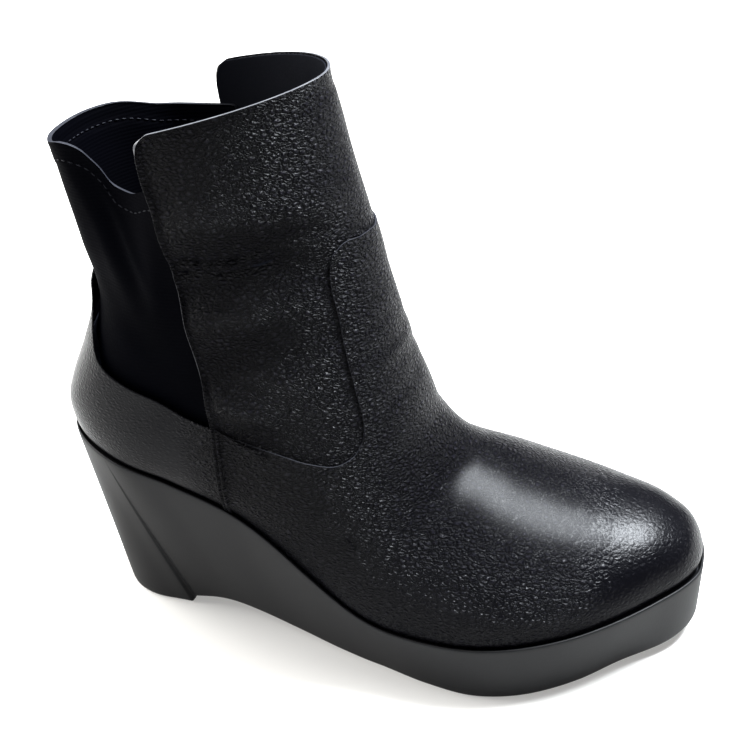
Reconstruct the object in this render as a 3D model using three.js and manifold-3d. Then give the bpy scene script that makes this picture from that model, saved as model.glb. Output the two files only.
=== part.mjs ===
// Wedge ankle bootie for the right foot: leather vamp, quarter and shaft, elastic back, moulded sole.
// Millimetres, +Z up, +X towards the toe, +Y towards the inner side of the foot.
// The origin is on the floor, in the middle of the heel's flat rest.

import * as THREE from "three";
import { mergeVertices } from "three/addons/utils/BufferGeometryUtils.js";
import Module from "manifold-3d";

const wasm = await Module();
wasm.setup();

// Driving dimensions
const footLength = 260; // back of the heel to the tip of the toe
const ballWidth = 104; // across the upper at the ball
const ankleWidth = 82; // across the shaft
const platform = 27; // floor to the rim under the ball
const heelHeight = 91; // floor to the rim at the back of the heel
const instepHeight = 116; // floor to the front of the ankle
const backHeight = 211; // floor to the collar at the back
const frontHeight = 233; // floor to the collar at the front

// Leather, elastic and joints between pieces
const clearance = 0.3; // between pieces that touch
const facetSlack = 0.2; // a faceted bed strays this much from its curve
const upperLeather = 1.8; // wall of vamp and quarter
const shaftLeather = 1.6; // wall of the shaft
const elasticWall = 2.0; // wall of the elastic back
const vampStep = 0.8; // vamp and quarter stand this much outside the shaft
const hemRadius = 1.6; // folded hem of the elastic
const tuck = 6.0; // elastic behind the edges of the leather
const seamWidth = 4.0; // raised side seam
const seamRise = 0.7; // its height above the quarter

// Sole
const rimWidth = 1.4; // lip of the sole around the upper
const rimRound = 0.5; // rounding of the lip
const grooveDepth = 2.2; // the upper stands this deep behind the lip
const archHeight = 6.5; // under the waist, in front of the heel
const toeSpring = 7.5; // under the tip of the toe
const heelRest = 35.5; // length of the heel's flat rest
const heelWidth = 49; // across the heel at the floor
const treadWidth = 107; // across the sole at the floor under the ball
const breastStep = 1.2; // heel block proud of the waist's side
const edgeRound = 1.4; // lower edge of the sole
const markWidth = 1.6; // grooves across the tread
const markHeight = 3.0;
const insoleThickness = 2.6;
const insoleFit = 1.9; // around the insole, inside the upper

// Fineness of the faceted surfaces
const ringCount = 36;
const toeCrowding = 1.25; // power that draws the rings together at the toe
const roundCount = 34;
const soleStations = 60;
const searchSteps = 30; // halvings when a place on the last is looked for
const bigReach = 400; // past everything, for the cutting prisms

function readTable(columns, rows) {
  return rows.map((row) => Object.fromEntries(columns.split(" ").map((name, i) => [name, row[i]])));
}

// Sections of the last from the toe to the ankle. Each runs from the sole to the top of the foot.
// soleX and topX are shares of footLength, lift is from platform to heelHeight, top from platform to
// instepHeight. lateral and medial are half widths as shares of ballWidth, as are the two shifts of
// the section's ends towards the inner side. widest is where the section is widest, as a share of it.
const footSections = readTable(
  "soleX lift topX top lateral medial widest soleRound topRound soleShift topShift",
  [
    [0.967, 0.03, 0.9702, 0.05, 0.003, 0.003, 0.3, 3.0, 2.0, 0.0625, 0.0625],
    [0.9605, 0.005, 0.973, 0.122, 0.101, 0.101, 0.32, 3.2, 2.2, 0.058, 0.0625],
    [0.942, -0.015, 0.9588, 0.205, 0.178, 0.168, 0.33, 3.4, 2.3, 0.058, 0.0625],
    [0.9077, -0.03, 0.924, 0.275, 0.264, 0.255, 0.32, 3.6, 2.1, 0.048, 0.0625],
    [0.8346, -0.06, 0.8423, 0.35, 0.404, 0.37, 0.3, 3.8, 1.9, 0.024, 0.067],
    [0.6846, -0.1, 0.6962, 0.505, 0.54, 0.452, 0.28, 4.0, 1.75, -0.005, 0.067],
    [0.5308, -0.1, 0.5942, 0.685, 0.505, 0.385, 0.26, 4.0, 1.75, -0.024, 0.048],
    [0.4, 0.165, 0.5527, 1.0, 0.456, 0.298, 0.27, 3.6, 1.9, -0.034, 0.019],
  ],
);

// Sections from the waist up the ankle to the collar. backX and frontX are shares of footLength, lift is
// from platform to heelHeight, rise from heelHeight to backHeight, front from instepHeight to frontHeight.
// The half widths and shifts are shares of ankleWidth.
const ankleSections = readTable(
  "backX lift rise frontX front lateral medial widest soleRound topRound soleShift topShift",
  [
    [0.277, 0.55, 0.0, 0.5358, 0.162, 0.549, 0.36, 0.34, 3.2, 2.0, -0.037, 0.0],
    [0.154, 0.7, 0.0, 0.5231, 0.291, 0.53, 0.384, 0.4, 3.0, 2.0, -0.024, -0.012],
    [0.05, 0.8, 0.0, 0.5127, 0.385, 0.512, 0.415, 0.43, 2.8, 2.0, -0.012, -0.012],
    [0.012, 0.93, 0.0, 0.506, 0.46, 0.494, 0.439, 0.45, 2.6, 2.0, 0.0, -0.012],
    [0.001, 1.0, 0.03, 0.4985, 0.53, 0.487, 0.452, 0.455, 2.5, 2.0, 0.0, -0.012],
    [-0.0015, 1.0, 0.09, 0.4915, 0.6, 0.48, 0.465, 0.46, 2.4, 2.0, 0.0, -0.012],
    [0.011, 1.0, 0.17, 0.4823, 0.684, 0.47, 0.482, 0.46, 2.3, 2.0, 0.0, -0.012],
    [0.04, 1.0, 0.3, 0.4738, 0.769, 0.46, 0.506, 0.46, 2.3, 1.95, 0.0, -0.012],
    [0.068, 1.0, 0.458, 0.4669, 0.846, 0.45, 0.53, 0.46, 2.3, 1.9, 0.0, -0.012],
    [0.056, 1.0, 0.658, 0.4608, 0.915, 0.44, 0.555, 0.46, 2.3, 1.85, 0.0, -0.012],
    [0.036, 1.0, 1.0, 0.4535, 1.0, 0.433, 0.585, 0.46, 2.3, 1.8, 0.0, -0.012],
    [0.033, 1.0, 1.13, 0.448, 1.12, 0.433, 0.585, 0.46, 2.3, 1.8, 0.0, -0.012],
  ],
);

// Rim of the sole seen from the side: x as a share of footLength, lift from platform to heelHeight.
const rimLine = readTable(
  "x lift",
  [
    [-0.04, 1.005],
    [0.0, 1.0],
    [0.046, 0.96],
    [0.127, 0.897],
    [0.2115, 0.8],
    [0.2923, 0.69],
    [0.365, 0.516],
    [0.4, 0.39],
    [0.431, 0.272],
    [0.458, 0.174],
    [0.485, 0.098],
    [0.515, 0.047],
    [0.55, 0.017],
    [0.6, 0.002],
    [0.677, 0.0],
    [0.769, 0.02],
    [0.865, 0.055],
    [0.942, 0.08],
    [1.03, 0.11],
  ],
);

// Sides of the sole at the floor: x as a share of footLength. The heel's half widths are shares of
// heelWidth and the ball's of treadWidth.
const treadLine = readTable(
  "x heelLateral heelMedial ballLateral ballMedial",
  [
    [0.0, 0.36, 0.52, 0.0, 0.0],
    [0.15, 0.39, 0.6, 0.0, 0.0],
    [0.22, 0.42, 0.56, 0.02, 0.0],
    [0.3, 0.36, 0.4, 0.11, 0.06],
    [0.4, 0.2, 0.24, 0.25, 0.18],
    [0.5, 0.04, 0.06, 0.39, 0.34],
    [0.58, 0.0, 0.0, 0.475, 0.425],
    [0.66, 0.0, 0.0, 0.51, 0.47],
    [0.73, 0.0, 0.0, 0.475, 0.465],
    [0.81, 0.0, 0.0, 0.365, 0.39],
    [0.88, 0.0, 0.0, 0.236, 0.302],
    [0.946, 0.0, 0.0, 0.2, 0.284],
    [1.0, 0.0, 0.0, 0.185, 0.285],
  ],
);

// Underside seen from the side: x as a share of footLength, arch as a share of archHeight and spring
// as a share of toeSpring.
const underLine = readTable(
  "x arch spring",
  [
    [0.16, 0.4, 0.0],
    [0.21, 0.85, 0.0],
    [0.28, 1.0, 0.0],
    [0.36, 0.62, 0.0],
    [0.43, 0.2, 0.0],
    [0.48, 0.0, 0.0],
    [0.79, 0.0, 0.0],
    [0.87, 0.0, 0.22],
    [0.94, 0.0, 0.62],
    [1.0, 0.0, 1.0],
  ],
);

// Edges seen from the side: x as a share of footLength, rise from heelHeight to backHeight.
const edgeColumns = "x rise";
const quarterEdge = readTable(edgeColumns, [
  [-0.05, 0.55],
  [0.05, 0.55],
  [0.074, 0.52],
  [0.09, 0.425],
  [0.104, 0.325],
  [0.142, 0.275],
  [0.205, 0.225],
  [0.25, 0.183],
  [0.288, 0.158],
]);
const vampSeam = readTable(edgeColumns, [
  [0.288, 0.158],
  [0.331, 0.125],
  [0.381, 0.092],
  [0.43, 0.058],
  [0.467, 0.046],
  [0.491, 0.079],
  [0.498, 0.15],
  [0.489, 0.258],
  [0.479, 0.358],
  [0.467, 0.492],
  [0.457, 0.608],
  [0.459, 0.675],
  [0.473, 0.708],
]);
const vampTop = readTable(edgeColumns, [
  [0.5115, 0.7],
  [0.62, 0.675],
]);
const panelEdge = readTable(edgeColumns, [
  [0.283, 0.148],
  [0.277, 0.275],
  [0.2665, 0.421],
  [0.2515, 0.633],
  [0.237, 0.83],
  [0.2235, 0.975],
  [0.223, 1.029],
  [0.2285, 1.062],
  [0.2385, 1.086],
]);

// Hem of the elastic seen from the side, as the edges are. The outer side slumps between its ends.
const hemLateral = readTable(edgeColumns, [
  [0.0, 1.0],
  [0.05, 1.008],
  [0.085, 1.025],
  [0.123, 0.962],
  [0.15, 0.896],
  [0.18, 0.892],
  [0.22, 0.908],
  [0.3, 0.908],
]);
const hemMedial = readTable(edgeColumns, [
  [0.0, 1.0],
  [0.06, 0.985],
  [0.13, 0.955],
  [0.21, 0.945],
  [0.3, 0.945],
]);

// The outer side of the elastic buckles inwards below its hem.
const buckle = {
  depth: 0.135 * ankleWidth,
  centre: 0.16 * footLength,
  reach: 0.1 * footLength,
  from: heelHeight + 0.5 * (backHeight - heelHeight),
  to: heelHeight + 0.95 * (backHeight - heelHeight),
};

// A smooth curve through knots, straight past its ends' slopes.
function smooth(knots, values, at) {
  const last = knots.length - 1;
  const x = Math.min(Math.max(at, knots[0]), knots[last]);
  let i = 0;
  while (i < last - 1 && x > knots[i + 1]) i += 1;
  const step = (j) => knots[j + 1] - knots[j];
  const rate = (j) => (values[j + 1] - values[j]) / step(j);
  const slope = (j) => {
    if (j === 0) return rate(0);
    if (j === last) return rate(last - 1);
    return (rate(j - 1) * step(j) + rate(j) * step(j - 1)) / (step(j - 1) + step(j));
  };
  const h = step(i);
  const t = (x - knots[i]) / h;
  return (
    (2 * t ** 3 - 3 * t ** 2 + 1) * values[i] +
    (t ** 3 - 2 * t ** 2 + t) * h * slope(i) +
    (-2 * t ** 3 + 3 * t ** 2) * values[i + 1] +
    (t ** 3 - t ** 2) * h * slope(i + 1)
  );
}

function ramp(from, to, value) {
  const t = Math.min(Math.max((value - from) / (to - from), 0), 1);
  return t * t * (3 - 2 * t);
}

const mix = (a, b, share) => a + (b - a) * share;
const riseHeight = (rise) => heelHeight + rise * (backHeight - heelHeight);

// The last
const lastSections = [
  ...footSections.map((row) => ({
    lowX: row.soleX * footLength,
    lowZ: mix(platform, heelHeight, row.lift),
    highX: row.topX * footLength,
    highZ: mix(platform, instepHeight, row.top),
    lateral: row.lateral * ballWidth,
    medial: row.medial * ballWidth,
    lowY: row.soleShift * ballWidth,
    highY: row.topShift * ballWidth,
    widest: row.widest,
    soleRound: row.soleRound,
    topRound: row.topRound,
  })),
  ...ankleSections.map((row) => ({
    lowX: row.backX * footLength,
    lowZ: mix(platform, heelHeight, row.lift) + row.rise * (backHeight - heelHeight),
    highX: row.frontX * footLength,
    highZ: mix(instepHeight, frontHeight, row.front),
    lateral: row.lateral * ankleWidth,
    medial: row.medial * ankleWidth,
    lowY: row.soleShift * ankleWidth,
    highY: row.topShift * ankleWidth,
    widest: row.widest,
    soleRound: row.soleRound,
    topRound: row.topRound,
  })),
];

// How far along the last each section lies, from the travel of its ends.
const travel = [0];
lastSections.slice(1).forEach((section, i) => {
  const before = lastSections[i];
  const low = Math.hypot(section.lowX - before.lowX, section.lowZ - before.lowZ);
  const high = Math.hypot(section.highX - before.highX, section.highZ - before.highZ);
  travel.push(travel[i] + Math.max(low, high, Math.abs(section.lateral - before.lateral)));
});
const lastEnd = travel[travel.length - 1];
const toeCapEnd = travel[3];
const heelStart = travel[9];
const ankleStart = travel[15];

function sectionAt(along) {
  const names = Object.keys(lastSections[0]);
  return Object.fromEntries(
    names.map((name) => [name, smooth(travel, lastSections.map((section) => section[name]), along)]),
  );
}

// A point of a section: angle 0 is its sole or back end, pi its top or front end, and the inner side of
// the foot lies between 0 and pi.
function sectionPoint(section, angle) {
  const cos = Math.cos(angle);
  const sin = Math.sin(angle);
  const power = 2 / (cos > 0 ? section.soleRound : section.topRound);
  const reach = Math.abs(cos) ** power;
  const share = cos > 0 ? section.widest * (1 - reach) : section.widest + (1 - section.widest) * reach;
  const half = sin > 0 ? section.medial : -section.lateral;
  return new THREE.Vector3(
    mix(section.lowX, section.highX, share),
    mix(section.lowY, section.highY, share) + half * Math.abs(sin) ** power,
    mix(section.lowZ, section.highZ, share),
  );
}

// Solids from closed loops of points
function geometryOf(points, triangles) {
  const geometry = new THREE.BufferGeometry();
  const numbers = points.flatMap((p) => [p.x, p.y, p.z]);
  geometry.setAttribute("position", new THREE.Float32BufferAttribute(numbers, 3));
  geometry.setIndex(triangles);
  return geometry;
}

// Loops of equal length are joined side to side. The cap of a loop is a fan, or a strip across it.
function stackLoops(loops, cap) {
  const count = loops[0].length;
  const points = loops.flat();
  const triangles = [];
  for (let j = 0; j + 1 < loops.length; j += 1) {
    for (let i = 0; i < count; i += 1) {
      const a = j * count + i;
      const b = j * count + ((i + 1) % count);
      triangles.push(a, b, b + count, a, b + count, a + count);
    }
  }
  cap(points, triangles, 0, count, true);
  cap(points, triangles, (loops.length - 1) * count, count, false);
  return { points, triangles };
}

function fanCap(points, triangles, start, count, flip) {
  const centre = new THREE.Vector3();
  for (let i = 0; i < count; i += 1) centre.addScaledVector(points[start + i], 1 / count);
  points.push(centre);
  for (let i = 0; i < count; i += 1) {
    const a = start + i;
    const b = start + ((i + 1) % count);
    triangles.push(points.length - 1, flip ? b : a, flip ? a : b);
  }
}

function stripCap(points, triangles, start, count, flip) {
  const face = (a, b, c) => {
    if (a === b || b === c || a === c) return;
    triangles.push(start + a, start + (flip ? c : b), start + (flip ? b : c));
  };
  for (let i = 0; i < count / 2; i += 1) {
    const here = (count - i) % count;
    const next = (count - i - 1) % count;
    face(i, i + 1, next);
    face(i, next, here);
  }
}

function toManifold(geometry) {
  const bare = geometry.clone();
  bare.deleteAttribute("normal");
  bare.deleteAttribute("uv");
  const merged = mergeVertices(bare, 1e-4);
  return new wasm.Manifold(
    new wasm.Mesh({
      numProp: 3,
      vertProperties: new Float32Array(merged.attributes.position.array),
      triVerts: new Uint32Array(merged.index.array),
    }),
  );
}

function toGeometry(solid) {
  const mesh = solid.getMesh();
  const geometry = new THREE.BufferGeometry();
  geometry.setAttribute("position", new THREE.Float32BufferAttribute(mesh.vertProperties, 3));
  geometry.setIndex(Array.from(mesh.triVerts));
  return geometry;
}

// The last grown by an offset, with its rings closer at the toe. The elastic's last also has the buckle
// of its outer side.
function lastSolid(offset, buckled = false) {
  const rings = [];
  for (let j = 0; j <= ringCount; j += 1) {
    const section = sectionAt(lastEnd * (j / ringCount) ** toeCrowding);
    const ring = [];
    for (let i = 0; i < roundCount; i += 1) {
      const point = sectionPoint(section, (-2 * Math.PI * i) / roundCount);
      if (buckled) point.y += buckleAt(point);
      ring.push(point);
    }
    rings.push(ring);
  }
  const { points, triangles } = stackLoops(rings, fanCap);
  const geometry = geometryOf(points, triangles);
  geometry.computeVertexNormals();
  const normals = geometry.attributes.normal;
  points.forEach((point, i) => {
    point.x += offset * normals.getX(i);
    point.y += offset * normals.getY(i);
    point.z += offset * normals.getZ(i);
  });
  return toManifold(geometryOf(points, triangles));
}

function buckleAt(point) {
  if (point.y > 0) return 0;
  const across = Math.cos((Math.PI / 2) * Math.min(Math.abs(point.x - buckle.centre) / buckle.reach, 1));
  return buckle.depth * across ** 2 * ramp(buckle.from, buckle.to, point.z);
}

// Prisms that cut what is seen from the side
function sidePoint(row) {
  return new THREE.Vector2(row.x * footLength, riseHeight(row.rise));
}

function curveThrough(rows, pieces = 3) {
  return new THREE.SplineCurve(rows.map(sidePoint)).getPoints(pieces * (rows.length - 1));
}

function moved(points, dx, dz) {
  return points.map((p) => new THREE.Vector2(p.x + dx, p.y + dz));
}

function sidePrism(outline, fromY = -bigReach, toY = bigReach) {
  const geometry = new THREE.ExtrudeGeometry(new THREE.Shape(outline), {
    depth: toY - fromY,
    bevelEnabled: false,
  });
  geometry.rotateX(Math.PI / 2);
  geometry.translate(0, toY, 0);
  return toManifold(geometry);
}

// Rim and bed of the sole
const rimX = rimLine.map((row) => row.x * footLength);
const rimZ = rimLine.map((row) => mix(platform, heelHeight, row.lift));
const rimHeight = (x) => smooth(rimX, rimZ, x);
const bedHeight = (x) => rimHeight(x) - grooveDepth;

// The line where the last passes through the rim's height, heel to toe, one side at a time.
function featherSide(sign, level, offset) {
  const crossing = (along) => {
    const section = sectionAt(along);
    let low = 0;
    let high = Math.PI;
    for (let n = 0; n < searchSteps; n += 1) {
      const middle = (low + high) / 2;
      const point = sectionPoint(section, sign * middle);
      if (point.z < level(point.x)) low = middle;
      else high = middle;
    }
    return sectionPoint(section, sign * high);
  };
  const endAlong = (angle, first, last) => {
    let below = first;
    let above = last;
    for (let n = 0; n < searchSteps; n += 1) {
      const middle = (below + above) / 2;
      const point = sectionPoint(sectionAt(middle), angle);
      if (point.z < level(point.x)) below = middle;
      else above = middle;
    }
    return above;
  };
  const toe = endAlong(Math.PI, 0, toeCapEnd);
  const heel = endAlong(0, heelStart, ankleStart);
  const count = 1.5 * soleStations;
  const line = [];
  for (let i = 0; i <= count; i += 1) {
    line.push(crossing(mix(heel, toe, (1 - Math.cos((Math.PI * i) / count)) / 2)));
  }
  return line.map((point, i) => {
    const before = line[Math.max(i - 1, 0)];
    const after = line[Math.min(i + 1, count)];
    const run = new THREE.Vector2(after.x - before.x, after.y - before.y).normalize();
    if (i === 0 || i === count) run.set(0, i === 0 ? sign : -sign);
    return new THREE.Vector2(point.x - sign * run.y * offset, point.y + sign * run.x * offset);
  });
}

function sideY(line, x) {
  let i = 0;
  while (i < line.length - 2 && x > line[i + 1].x) i += 1;
  const share = (x - line[i].x) / (line[i + 1].x - line[i].x);
  return mix(line[i].y, line[i + 1].y, Math.min(Math.max(share, 0), 1));
}

// An outline as a function of a share from heel to toe, with close stations at both ends.
function outlineFrom(level, offset) {
  const lateral = featherSide(-1, level, offset);
  const medial = featherSide(1, level, offset);
  const from = lateral[0].x;
  const to = lateral[lateral.length - 1].x;
  return {
    from,
    to,
    at: (x) => ({ lateral: sideY(lateral, x), medial: sideY(medial, x) }),
  };
}

// A loop around the sole: heel tip, outer side, toe tip, inner side.
function loopOf(stations, placeAt) {
  const sides = stations.map((station) => placeAt(station));
  const last = sides.length - 1;
  const tip = (side) => side.lateral.clone().lerp(side.medial, 0.5);
  const between = sides.slice(1, last);
  const outwards = between.map((side) => side.lateral);
  const back = between.map((side) => side.medial).reverse();
  return [tip(sides[0]), ...outwards, tip(sides[last]), ...back];
}

function evenStations(count) {
  return Array.from({ length: count + 1 }, (_, i) => (1 - Math.cos((Math.PI * i) / count)) / 2);
}

// Wedge sole
const heelBack = 0.016 * footLength; // the heel's foot stands in from the back of the foot
const treadTip = 0.975 * footLength;
const heelBreast = heelBack + heelRest;
const markPlaces = [0.575 * footLength, 0.81 * footLength];
const lipFit = vampStep + clearance + 0.1; // inner side of the lip, from the last
const floorX = treadLine.map((row) => row.x * footLength);
const floorLateral = treadLine.map((row) => -row.heelLateral * heelWidth - row.ballLateral * treadWidth);
const floorMedial = treadLine.map((row) => row.heelMedial * heelWidth + row.ballMedial * treadWidth);
const underX = underLine.map((row) => row.x * footLength);
const underZ = underLine.map((row) => row.arch * archHeight + row.spring * toeSpring);

function roundEnds(x) {
  const heelBend = 0.5 * heelWidth;
  const toeBend = 0.26 * treadWidth;
  const heelShare = Math.min((x - heelBack) / heelBend, 1);
  const toeShare = Math.min((treadTip - x) / toeBend, 1);
  return Math.sqrt(1 - (1 - heelShare) ** 2) * Math.sqrt(1 - (1 - toeShare) ** 2);
}

function underside(x) {
  if (x <= heelBreast) return 0;
  return Math.max(smooth(underX, underZ, x), 0);
}

function wedgeSole() {
  const outer = outlineFrom(rimHeight, lipFit + rimWidth);
  const softened = outlineFrom(rimHeight, lipFit + rimWidth - rimRound);
  const inner = outlineFrom(rimHeight, lipFit);

  // The front of the heel block is steep, so two stations stand close together there and none beside them.
  const breastX = [heelBreast - 0.5, heelBreast + 1.5];
  const breastMiddle = (breastX[0] + breastX[1]) / 2;
  const even = evenStations(soleStations).map((share) => mix(heelBack, treadTip, share));
  const clear = even.filter((x) => Math.abs(x - breastMiddle) > 3.2);
  const stations = [...clear, ...breastX].sort((a, b) => a - b);

  // The wall's lines lean: at the heel they run forwards on their way down.
  const floorKnots = [heelBack, heelBreast, 0.31 * footLength, 0.5 * footLength, treadTip];
  const knotsBetween = [0.08, 0.28, 0.5].map((share) => share * footLength);
  const rimKnots = (outline) => [outline.from, ...knotsBetween, outline.to];
  const onRim = (outline, lower) => (x) => {
    const rimAt = smooth(floorKnots, rimKnots(outline), x);
    const { lateral, medial } = outline.at(rimAt);
    const z = rimHeight(rimAt) - lower;
    return { lateral: new THREE.Vector3(rimAt, lateral, z), medial: new THREE.Vector3(rimAt, medial, z) };
  };
  const onFloor = (inset, raise) => (x) => {
    const middle = (smooth(floorX, floorLateral, x) + smooth(floorX, floorMedial, x)) / 2;
    const half = (smooth(floorX, floorMedial, x) - smooth(floorX, floorLateral, x)) / 2;
    const wide = Math.max(half * roundEnds(x) - inset, 0);
    const z = underside(x) + raise;
    const ends = mix(inset, -inset, (x - heelBack) / (treadTip - heelBack));
    const step = x > heelBreast ? breastStep * ramp(0.5, 0.3, x / footLength) : 0;
    return {
      lateral: new THREE.Vector3(x + ends, middle - wide + Math.min(step, wide), z),
      medial: new THREE.Vector3(x + ends, middle + wide - Math.min(step, wide), z),
    };
  };
  const rimEdge = onRim(outer, rimRound);
  const floorEdge = onFloor(0, edgeRound);
  const onWall = (share) => (x) => {
    const high = rimEdge(x);
    const low = floorEdge(x);
    const swell = share ** 1.15;
    const blend = (a, b) => {
      const place = a.clone().lerp(b, share);
      return place.setY(mix(a.y, b.y, swell));
    };
    return { lateral: blend(high.lateral, low.lateral), medial: blend(high.medial, low.medial) };
  };
  const places = [
    onFloor(edgeRound, 0),
    onFloor(0.3 * edgeRound, 0.3 * edgeRound),
    floorEdge,
    onWall(0.66),
    onWall(0.33),
    rimEdge,
    onRim(softened, 0),
    onRim(inner, 0),
    onRim(inner, grooveDepth),
  ];
  const { points, triangles } = stackLoops(places.map((place) => loopOf(stations, place)), stripCap);
  let solid = toManifold(geometryOf(points, triangles));
  for (const x of markPlaces) {
    const groove = new THREE.BoxGeometry(markWidth, bigReach, 2 * markHeight);
    groove.translate(x, 0, underside(x));
    solid = solid.subtract(toManifold(groove));
  }
  return toGeometry(solid);
}

// Insole on the sole's bed, inside the upper
function insole() {
  const base = (x) => bedHeight(x) + clearance + facetSlack;
  const outline = outlineFrom(base, vampStep - upperLeather - insoleFit);
  const stations = evenStations(soleStations);
  const layer = (raise) => (share) => {
    const x = mix(outline.from, outline.to, share);
    const { lateral, medial } = outline.at(x);
    const z = base(x) + raise;
    return { lateral: new THREE.Vector3(x, lateral, z), medial: new THREE.Vector3(x, medial, z) };
  };
  const { points, triangles } = stackLoops(
    [loopOf(stations, layer(0)), loopOf(stations, layer(insoleThickness))],
    stripCap,
  );
  return geometryOf(points, triangles);
}

// Vamp and quarter
function overBed() {
  const count = 80;
  const line = [];
  for (let i = 0; i <= count; i += 1) {
    const x = mix(-0.08, 1.08, i / count) * footLength;
    line.push(new THREE.Vector2(x, bedHeight(x) + clearance + facetSlack));
  }
  return line;
}

function upperOutline() {
  const seam = curveThrough(vampSeam, 4).slice(1);
  const edge = [...curveThrough(quarterEdge), ...seam, ...vampTop.map(sidePoint)];
  const right = new THREE.Vector2(bigReach, edge[edge.length - 1].y);
  return [...edge, right, ...overBed().reverse()];
}

function upperPiece() {
  const wall = lastSolid(vampStep).subtract(lastSolid(vampStep - upperLeather));
  return toGeometry(wall.intersect(sidePrism(upperOutline())));
}

// Shaft
const collarStart = sidePoint({ x: 0.2385, rise: 1.088 });
const collarEnd = new THREE.Vector2(0.4535 * footLength, frontHeight);
function collarHeight(x) {
  return mix(collarStart.y, collarEnd.y, (x - collarStart.x) / (collarEnd.x - collarStart.x));
}

function shaftPiece() {
  const rear = curveThrough(panelEdge);
  const top = rear[rear.length - 1];
  top.y = collarHeight(top.x);
  const front = 0.75 * footLength; // well past the shaft
  const lowest = riseHeight(0);
  const outline = [
    new THREE.Vector2(rear[0].x, lowest),
    ...rear,
    new THREE.Vector2(front, collarHeight(front)),
    new THREE.Vector2(front, lowest),
  ];
  const wall = lastSolid(0).subtract(lastSolid(-shaftLeather));
  const vamp = upperOutline();
  const below = sidePrism(moved(vamp, 0, clearance)).add(sidePrism(moved(vamp, clearance, 0)));
  const behind = sidePrism(moved(vamp, -clearance, 0)).add(sidePrism(moved(vamp, 0, -clearance)));
  return toGeometry(wall.intersect(sidePrism(outline)).subtract(below.add(behind)));
}

// Elastic back with its folded hem
const elasticOffset = -shaftLeather - clearance;

function elasticOutline(hemRows) {
  const hem = curveThrough(hemRows, 4);
  const straightPart = curveThrough(panelEdge).filter((p) => p.y < riseHeight(0.85));
  const low = curveThrough(quarterEdge);
  const frontLine = moved(straightPart, tuck, 0).reverse();
  const lowLine = moved(low.slice(3), 0, -tuck).reverse();
  const hemLine = hem.filter((p) => p.x > 0 && p.x < frontLine[0].x - 1);
  return [
    new THREE.Vector2(-bigReach / 2, riseHeight(1)),
    ...hemLine,
    new THREE.Vector2(frontLine[0].x, hemLine[hemLine.length - 1].y),
    ...frontLine,
    ...lowLine,
    new THREE.Vector2(-bigReach / 2, low[0].y - tuck),
  ];
}

function hemPath() {
  const lateral = hemLateral.map(sidePoint);
  const medial = hemMedial.map(sidePoint);
  const heightAt = (rows, x) => smooth(rows.map((p) => p.x), rows.map((p) => p.y), x);
  const path = [];
  const span = 1.78; // angle from the back to the ends of the hem, behind the shaft
  const count = 26;
  for (let i = 0; i <= count; i += 1) {
    const angle = mix(-span, span, i / count);
    const rows = angle < 0 ? lateral : medial;
    let low = ankleStart;
    let high = lastEnd;
    for (let n = 0; n < searchSteps; n += 1) {
      const middle = (low + high) / 2;
      const point = sectionPoint(sectionAt(middle), angle);
      if (point.z < heightAt(rows, point.x)) low = middle;
      else high = middle;
    }
    const inwards = elasticOffset - hemRadius - 0.1;
    const section = sectionAt(high);
    const point = sectionPoint(section, angle);
    const before = sectionPoint(section, angle - 0.02);
    const after = sectionPoint(section, angle + 0.02);
    const out = new THREE.Vector2(before.y - after.y, after.x - before.x).normalize();
    point.y += buckleAt(point);
    path.push(new THREE.Vector3(point.x + inwards * out.x, point.y + inwards * out.y, point.z));
  }
  return new THREE.CatmullRomCurve3(path);
}

function elasticPiece() {
  const wall = lastSolid(elasticOffset, true).subtract(lastSolid(elasticOffset - elasticWall, true));
  const outer = sidePrism(elasticOutline(hemLateral), -bigReach, 0);
  const inner = sidePrism(elasticOutline(hemMedial), 0, bigReach);
  const ring = new THREE.Shape();
  ring.absarc(0, 0, hemRadius, 0, 2 * Math.PI);
  const hem = new THREE.ExtrudeGeometry(ring, {
    steps: 40,
    curveSegments: 4,
    bevelEnabled: false,
    extrudePath: hemPath(),
  });
  return toGeometry(wall.intersect(outer.add(inner)).add(toManifold(hem)));
}

// Raised seam strips down both sides
const seamTop = { x: 0.2885, rise: 0.148 };
const seamFoot = 0.287; // share of footLength
function sideSeam(sign) {
  const lift = vampStep + clearance;
  const band = lastSolid(lift + seamRise).subtract(lastSolid(lift));
  const top = sidePoint(seamTop);
  const footX = seamFoot * footLength;
  const foot = new THREE.Vector2(footX, rimHeight(footX) + 1);
  const half = seamWidth / 2;
  const outline = [
    new THREE.Vector2(foot.x - half, foot.y),
    new THREE.Vector2(foot.x + half, foot.y),
    new THREE.Vector2(top.x + half, top.y - 2 * half),
    new THREE.Vector2(top.x, top.y),
    new THREE.Vector2(top.x - half, top.y - half),
  ];
  const side = sign > 0 ? [0, bigReach] : [-bigReach, 0];
  return toGeometry(band.intersect(sidePrism(outline, ...side)));
}

// Materials
const blackLeather = new THREE.MeshStandardMaterial({ color: 0x17171b, roughness: 0.42, metalness: 0 });
const blackElastic = new THREE.MeshStandardMaterial({ color: 0x0e0f16, roughness: 0.85, metalness: 0 });
const soleRubber = new THREE.MeshStandardMaterial({ color: 0x1d1e21, roughness: 0.6, metalness: 0 });
const insoleLining = new THREE.MeshStandardMaterial({ color: 0x15151a, roughness: 0.7, metalness: 0 });

const bootie = new THREE.Group();
function addPiece(name, geometry, material) {
  const mesh = new THREE.Mesh(geometry, material);
  mesh.name = name;
  bootie.add(mesh);
}

addPiece("wedge_sole", wedgeSole(), soleRubber);
addPiece("insole", insole(), insoleLining);
addPiece("upper", upperPiece(), blackLeather);
addPiece("shaft", shaftPiece(), blackLeather);
addPiece("elastic_back", elasticPiece(), blackElastic);
addPiece("side_seam_lateral", sideSeam(-1), blackLeather);
addPiece("side_seam_medial", sideSeam(1), blackLeather);

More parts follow.
